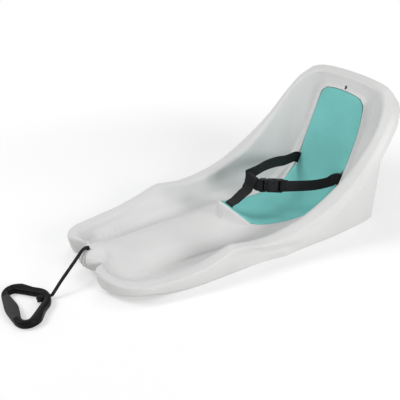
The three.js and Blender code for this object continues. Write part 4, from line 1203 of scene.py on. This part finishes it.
@dataclass
class TowLine(SubAssembly):
    """The tow rope with its two knots."""

    diameter: float = 8 * MM
    braid_height: float = 0.45 * MM
    braid_sharpness: float = 1.5
    plaits: int = 8
    plait_pitch: float = 11 * MM
    cells_round: int = 48
    cells_per_metre: float = 1600.0
    fewest_rows: int = 8
    end_steps: int = 4
    # Points between the nose hole and the handle's apex, in millimetres, before the shift that centres the sled
    route: tuple[Triple, ...] = (
        (0.0, -397.48, 75.47), (0.6, -404, 76.2), (2.4, -411.5, 74.6), (5.6, -419.5, 70.2), (9.6, -428, 64.4),
        (14.2, -438, 58.1), (18.9, -448, 52), (23.5, -458, 45.8), (28, -468, 39.6), (32.3, -478, 33.2),
        (36.4, -487, 27), (39.8, -495, 20.8), (42.2, -501.5, 15.4), (43.7, -507.9, 9.5),
    )
    centre_shift: float = 96.583 * MM
    path_steps: int = 30
    knot_strand: float = 0.78
    knot_height: float = 0.75
    knot_share: float = 0.97
    knot_steps: int = 72
    stem_steps: int = 6

    def braid(self, angle: float, distance: float, radius: float) -> float:
        """Radius of the braided surface.

        Args:
            angle: Direction round the rope.
            distance: Place along it.
            radius: The rope's outer radius.

        Returns:
            The radius there.
        """
        turn = 2 * math.pi * distance / self.plait_pitch
        half = self.plaits / 2
        over = max(abs(math.cos(half * (angle + turn))), abs(math.cos(half * (angle - turn)))) ** self.braid_sharpness
        return radius - self.braid_height * (1 - over)

    def tube(self, name: str, route: Route, radius: float) -> Piece:
        """A braided tube with round ends along a line.

        Args:
            name: Its name.
            route: The line.
            radius: Its radius.

        Returns:
            The closed tube.
        """
        rows = max(self.fewest_rows, int(route.length * self.cells_per_metre))
        frames = route.frames(rows)

        def place(along: float, across: float) -> Vector:
            """Point of the braided surface.

            Args:
                along: Share of the length.
                across: Share of a turn round the tube.

            Returns:
                The point.
            """
            point, _, side, out = frames[round(along * rows)]
            angle = 2 * math.pi * across
            thick = self.braid(angle, along * route.length, radius)
            return point + (side * math.cos(angle) + out * math.sin(angle)) * thick

        piece = laid_grid(name, rows, self.cells_round, place, (2 * math.pi * radius, route.length))
        with editing(piece):
            bpy.ops.mesh.remove_doubles(threshold=MM / 100)
        for (point, ahead, _, _), sign in ((frames[0], -1.0), (frames[-1], 1.0)):
            self.close_end(piece, point, ahead * sign, radius)
        face_out(piece)
        smooth(piece, degrees=70)
        return piece

    def close_end(self, piece: Piece, point: Vector, ahead: Vector, radius: float) -> None:
        """Rounds off an open end of a tube.

        Args:
            piece: The tube.
            point: The end's middle.
            ahead: The direction out of the tube.
            radius: Its radius.
        """
        nearby = 1.6 * radius

        def at_end(edge: Edge) -> bool:
            """Whether an edge is on the rim of this end."""
            return edge.is_boundary and ((edge.verts[0].co + edge.verts[1].co) / 2 - point).length < nearby

        with editing(piece, "DESELECT") as mesh:
            bpy.ops.mesh.select_mode(type="EDGE")
            choose(piece, mesh.edges, at_end)
            for i in range(1, self.end_steps + 1):
                before, angle = ((i - back) * math.pi / 2 / (self.end_steps + 1) for back in (1, 0))
                move = ahead * radius * (math.sin(angle) - math.sin(before))
                bpy.ops.mesh.extrude_edges_move(TRANSFORM_OT_translate={"value": move})
                scale = math.cos(angle) / math.cos(before)
                middle = point + ahead * radius * math.sin(angle)
                bpy.ops.transform.resize(value=(scale, scale, scale), center_override=middle)
            bpy.ops.mesh.edge_face_add()

    def knot(self, name: str, node: str, axis: int, spread: float) -> Piece:
        """A rope end with an overhand knot, whose loop goes round twice with three lobes.

        Args:
            name: Its name.
            node: The frame node that it stands for.
            axis: The axis along which the rope's end comes in, from the node's upper side.
            spread: The knot's overall radius.

        Returns:
            The knot with its stem.
        """
        low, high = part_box(node)
        start, centre = (low + high) / 2, (low + high) / 2
        start[axis], centre[axis] = high[axis], low[axis] + spread
        ahead = (centre - start).normalized()
        side = ahead.orthogonal().normalized()
        out = ahead.cross(side)
        radius = self.diameter / 2
        strand = self.knot_strand * radius
        rounds, lobes = 2, 3
        wide = (spread - strand) / (rounds + 1)
        loop = []
        for i in range(self.knot_steps + 1):
            t = 2 * math.pi * (i / self.knot_steps) * self.knot_share
            flat = wide * (rounds + math.cos(lobes * t))
            rise = (spread - strand) * self.knot_height * math.sin(lobes * t)
            middle = centre + side * flat * math.cos(rounds * t) + out * flat * math.sin(rounds * t)
            loop.append(middle + ahead * rise)
        stem = [start + (centre - start) * (i / self.stem_steps) for i in range(self.stem_steps + 1)]
        pieces = (
            self.tube(f"{name}_stem", flat_route(stem, side), radius),
            self.tube(f"{name}_wraps", flat_route(loop, ahead), strand),
        )
        return joined(pieces, name)

    def build(self) -> None:
        """Builds and dresses the tow line."""
        points = np.array(self.route) * MM + np.array([0.0, self.centre_shift, 0.0])
        route = flat_route(points, (1.0, 0.0, 0.0))
        rope = self.tube("braided_tow_rope", route, self.diameter / 2)
        low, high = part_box("rope_stop_knot")
        spread = (high.x - low.x) / 2
        stop = self.knot("nose_stop_knot", "rope_stop_knot", 2, spread)
        end = self.knot("handle_end_knot", "handle_knot", 1, spread)
        self.dress(rope, BraidedRope(), "tow_line", "tow_rope")
        self.dress(stop, BraidedRope(), "root", "rope_stop_knot")
        self.dress(end, BraidedRope(), "handle", "handle_knot")
        path = [tuple(point) for point, _, _, _ in route.frames(self.path_steps)]
        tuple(path[0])


@dataclass
class PullHandle(SubAssembly):
    """The rounded triangular pull handle and the soft grip on its far bar."""

    apex: Triple = (0.0437, -0.415917, 0.0095)
    width: float = 154 * MM
    depth: float = 102 * MM
    thickness: float = 19 * MM
    centre_share: float = 0.54
    apex_radius: float = 46 * MM
    corner_radius: float = 33 * MM
    far_radius: float = 120 * MM
    far_span: float = math.radians(7.4)
    bow: float = 5 * MM
    waist: float = 2.4 * MM
    waist_turn: float = 0.98
    waist_reach: float = 0.42
    waist_power: float = 1.5
    side_bar: float = 15.5 * MM
    corner_bar: float = 18 * MM
    grip_bar: float = 23 * MM
    grip_bulge: float = 6.5 * MM
    bulge_power: float = 1.2
    least_slope: float = 0.5
    finger_apex_radius: float = 21 * MM
    finger_corner_radius: float = 10 * MM
    section_power: float = 0.55
    ledge_drop: float = 0.2
    ledge_start: float = 0.18
    ledge_width: float = 0.22
    seam_gap: float = 0.5 * MM
    seam_round: float = 0.6 * MM
    ring_cells: int = 240
    section_cells: int = 48

    def reach(self, direction: float, circles: Sequence[Triple], centre: Span) -> float:
        """Distance from a centre to the outline round several circles.

        Args:
            direction: The direction's angle.
            circles: The middle and radius of each. One larger than the apex's is a short arc at the far side.
            centre: Where the distance starts.

        Returns:
            The distance.
        """
        widest, samples = 1.4, 561
        normals = direction + np.linspace(-widest, widest, samples)
        support = np.full(samples, -np.inf)
        for x, y, radius in circles:
            value = (x - centre[0]) * np.cos(normals) + (y - centre[1]) * np.sin(normals) + radius
            on_arc = (radius <= self.apex_radius) | (np.sin(normals) < -math.cos(self.far_span))
            support = np.where(on_arc, np.maximum(support, value), support)
        return float(np.min(support / np.cos(normals - direction)))

    def bar(self, turn: float, centre: Span) -> Span:
        """Outside and inside of the ring's bar.

        Args:
            turn: Angle round the ring.
            centre: The ring's middle.

        Returns:
            The distances of both from the middle.
        """
        corner_x = self.width / 2 - self.corner_radius
        corner_y = -self.depth + self.bow + self.corner_radius
        hole_x = self.width / 2 - self.corner_bar - self.finger_corner_radius
        hole_y = -self.depth + self.grip_bar + self.finger_corner_radius
        around = [(0.0, -self.apex_radius, self.apex_radius), (0.0, self.far_radius - self.depth, self.far_radius)]
        hole = [(0.0, -self.side_bar - self.finger_apex_radius, self.finger_apex_radius)]
        for sign in (-1, 1):
            around.append((sign * corner_x, corner_y, self.corner_radius))
            hole.append((sign * hole_x, hole_y, self.finger_corner_radius))
        outer, inner = self.reach(turn, around, centre), self.reach(turn, hole, centre)
        side = (abs(math.remainder(turn - math.pi / 2, 2 * math.pi)) - self.waist_turn) / self.waist_reach
        outer -= self.waist * max(0.0, 1 - side * side) ** self.waist_power
        if math.sin(turn) < 0:
            reach_x = inner * math.cos(turn) / corner_x
            lift = self.grip_bulge * max(0.0, 1 - reach_x * reach_x) ** self.bulge_power
            inner -= lift / max(-math.sin(turn), self.least_slope)
        return outer, inner

    def ring_place(self, turn: float, section: float) -> Vector:
        """Point of the handle's ring, in the handle's own frame.

        Args:
            turn: Angle round the ring.
            section: Angle round the bar's section, 0 outside and half a turn inside.

        Returns:
            The point, with the apex at the origin.
        """
        centre = (0.0, -self.depth * self.centre_share)
        outer, inner = self.bar(turn, centre)
        width, height = (
            math.copysign(abs(value) ** self.section_power, value) for value in (math.cos(section), math.sin(section))
        )
        if height > 0:
            ledge = min(1.0, max(0.0, (-width - self.ledge_start) / self.ledge_width))
            height -= self.ledge_drop * ledge * ledge * (3 - 2 * ledge) * height
        radius = (outer + inner) / 2 + width * (outer - inner) / 2
        x, y = centre[0] + radius * math.cos(turn), centre[1] + radius * math.sin(turn)
        return Vector((x, y, height * self.thickness / 2))

    def ring(self) -> Piece:
        """The whole ring, from a torus primitive.

        Returns:
            The ring in its place.
        """
        deselect_all()
        bpy.ops.mesh.primitive_torus_add(
            major_segments=self.ring_cells, minor_segments=self.section_cells, major_radius=1.0, minor_radius=0.5
        )
        piece = added("handle_blank")
        apex = Vector(self.apex)
        for vertex in piece.data.vertices:
            turn = math.atan2(vertex.co.y, vertex.co.x)
            flat = math.hypot(vertex.co.x, vertex.co.y) - 1.0
            vertex.co = apex + self.ring_place(turn, math.atan2(vertex.co.z, flat))
        return piece

    def sliced(self, ring: Piece, name: str, keep_middle: bool) -> Piece:
        """The grip's stretch of the ring, or the rest of it.

        Args:
            ring: The whole ring.
            name: The new piece's name.
            keep_middle: True for the grip.

        Returns:
            The closed piece.
        """
        piece = linked(name, ring.data.copy())
        seam = self.width / 2 - self.corner_radius - (self.seam_gap if keep_middle else 0.0)
        apex = Vector(self.apex)
        middle_y = apex.y - self.depth + self.grip_bar + self.grip_bulge

        def on_far_bar(face: Face) -> bool:
            """Whether a face is on the ring's far bar."""
            return face.calc_center_median().y < middle_y

        def unwanted(face: Face) -> bool:
            """Whether a face belongs to the other piece."""
            return (on_far_bar(face) and abs(face.calc_center_median().x - apex.x) < seam) != keep_middle

        for sign in (-1, 1):
            with editing(piece, "DESELECT") as mesh:
                choose(piece, mesh.faces, on_far_bar)
                bpy.ops.mesh.bisect(plane_co=(apex.x + sign * seam, 0.0, 0.0), plane_no=(1.0, 0.0, 0.0))
        with editing(piece, "DESELECT") as mesh:
            choose(piece, mesh.faces, unwanted)
            bpy.ops.mesh.delete(type="FACE")
            bpy.ops.mesh.select_all(action="DESELECT")
            bpy.ops.mesh.select_mode(type="EDGE")
            bpy.ops.mesh.select_non_manifold()
            bpy.ops.mesh.edge_face_add()
        soften(piece, self.seam_round, degrees=60)
        face_out(piece)
        smooth(piece, degrees=50)
        return piece

    def build(self) -> None:
        """Builds and dresses the handle."""
        ring = self.ring()
        frame = self.sliced(ring, "handle_ring", keep_middle=False)
        grip = self.sliced(ring, "handle_soft_grip", keep_middle=True)
        bpy.data.objects.remove(ring)
        self.dress(frame, HandlePlastic(), "handle", "pull_handle")
        self.dress(grip, GripRubber(), "handle", "handle_grip")


@dataclass
class Studio:
    """Camera, light and floor."""

    camera_place: Triple = (1.107, -0.6734, 0.833)
    camera_down: float = 28.98
    camera_turn: float = 58.33
    lens: float = 52.02
    lamps: tuple[tuple[str, Triple, float], ...] = (
        ("side_softbox", (2.05, 0.45, 0.85), 20.0),
        ("front_softbox", (-0.7, -1.5, 1.65), 18.0),
        ("top_softbox", (-0.5, 0.5, 2.3), 6.5),
    )
    lamp_size: float = 0.8
    lamp_aim: Triple = (0.0, 0.0, 0.1)
    ambient: float = 0.47
    background: float = 1.0
    floor_size: float = 12.0
    floor_drop: float = 0.2 * MM
    floor_colour: Triple = (0.90, 0.905, 0.89)
    shadow_colour: Triple = (0.66, 0.655, 0.68)
    glow_colour: Triple = (0.41, 0.415, 0.40)
    shadow_reach: Span = (0.6, 1.15)

    def camera(self) -> None:
        """Places the camera at the photograph's view."""
        data = bpy.data.cameras.new("view")
        data.lens = self.lens
        camera = linked("view", data)
        camera.location = self.camera_place
        camera.rotation_euler = (math.radians(90 - self.camera_down), 0.0, math.radians(self.camera_turn))
        bpy.context.scene.camera = camera

    def lamp(self, name: str, place: Triple, power: float) -> None:
        """Adds a soft lamp that looks at the sled.

        Args:
            name: Its name.
            place: Where it hangs.
            power: Its power in watts.
        """
        data = bpy.data.lights.new(name, "AREA")
        data.size = self.lamp_size
        data.energy = power
        lamp = linked(name, data)
        lamp.location = place
        lamp.rotation_euler = (Vector(self.lamp_aim) - Vector(place)).to_track_quat("-Z", "Y").to_euler()

    def backdrop_share(self, nodes: Nodes) -> Socket:
        """Share of a surface that is plain background: all of it to the camera and in gloss and glass.

        Args:
            nodes: The tree's builder.

        Returns:
            The value socket.
        """
        path = nodes.tree.nodes.new("ShaderNodeLightPath").outputs
        seen = path["Is Camera Ray"]
        for other in ("Is Glossy Ray", "Is Transmission Ray"):
            seen = nodes.add("Math", {0: seen, 1: path[other]}, operation="MAXIMUM")
        return seen

    def world(self) -> None:
        """White to the camera, soft even light for the sled."""
        world = bpy.data.worlds.new("studio")
        bpy.context.scene.world = world
        nodes = Nodes(world)
        nodes.tree.nodes.clear()
        light = nodes.add("Background", {"Strength": self.ambient})
        white = nodes.add("Background", {"Color": (1.0, 1.0, 1.0, 1.0), "Strength": self.background})
        nodes.end("OutputWorld", nodes.add("MixShader", {0: self.backdrop_share(nodes), 1: light, 2: white}))

    def floor(self) -> None:
        """A plain pale floor that keeps the sled's shadow, and is plain white farther away."""
        deselect_all()
        bpy.ops.mesh.primitive_plane_add(size=self.floor_size, location=(0.0, 0.0, -self.floor_drop))
        floor = added("studio_floor")
        material = bpy.data.materials.new("studio_floor")
        nodes = Nodes(material)
        nodes.tree.nodes.clear()
        bounce = nodes.add("BsdfDiffuse", {"Color": (*self.floor_colour, 1.0)})
        shadow = nodes.add("BsdfDiffuse", {"Color": (*self.shadow_colour, 1.0)})
        glow = nodes.add("Emission", {"Color": (*self.glow_colour, 1.0)})
        near = nodes.add("AddShader", {0: shadow, 1: glow})
        place = nodes.add("TexCoord", {}, "Object")
        values = {
            "Value": nodes.add("VectorMath", {0: place}, "Value", operation="LENGTH"),
            "From Min": self.shadow_reach[0],
            "From Max": self.shadow_reach[1],
        }
        beyond = nodes.add("MapRange", values, "Result", interpolation_type="SMOOTHSTEP")
        seen = nodes.add("MixShader", {0: beyond, 1: near, 2: nodes.add("Emission", {})})
        nodes.end("OutputMaterial", nodes.add("MixShader", {0: self.backdrop_share(nodes), 1: bounce, 2: seen}))
        floor.data.materials.append(material)

    def build(self) -> None:
        """Sets the whole studio."""
        self.camera()
        self.world()
        self.floor()
        for name, place, power in self.lamps:
            self.lamp(name, place, power)
        bpy.context.scene.view_settings.view_transform = "Standard"


def main() -> None:
    """Builds the studio and the sled, and reports each piece."""
    logging.basicConfig(level=logging.INFO, format="%(name)s: %(message)s")
    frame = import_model()
    finishes = (ShellPlastic(), PadFoam(), Webbing(), BucklePlastic(), BraidedRope(), HandlePlastic(), GripRubber())
    materials = {finish.slot: finish.material() for finish in finishes}
    Studio().build()
    for kind in (TowLine, PullHandle, Shell, SeatPad, Harness):
        part = kind(frame["nodes"], materials)
        part.build()
        for piece in part.pieces:
            LOG.info("%s: %s, %d faces", kind.__name__, piece.name, len(piece.data.polygons))


if __name__ == "__main__":
    main()
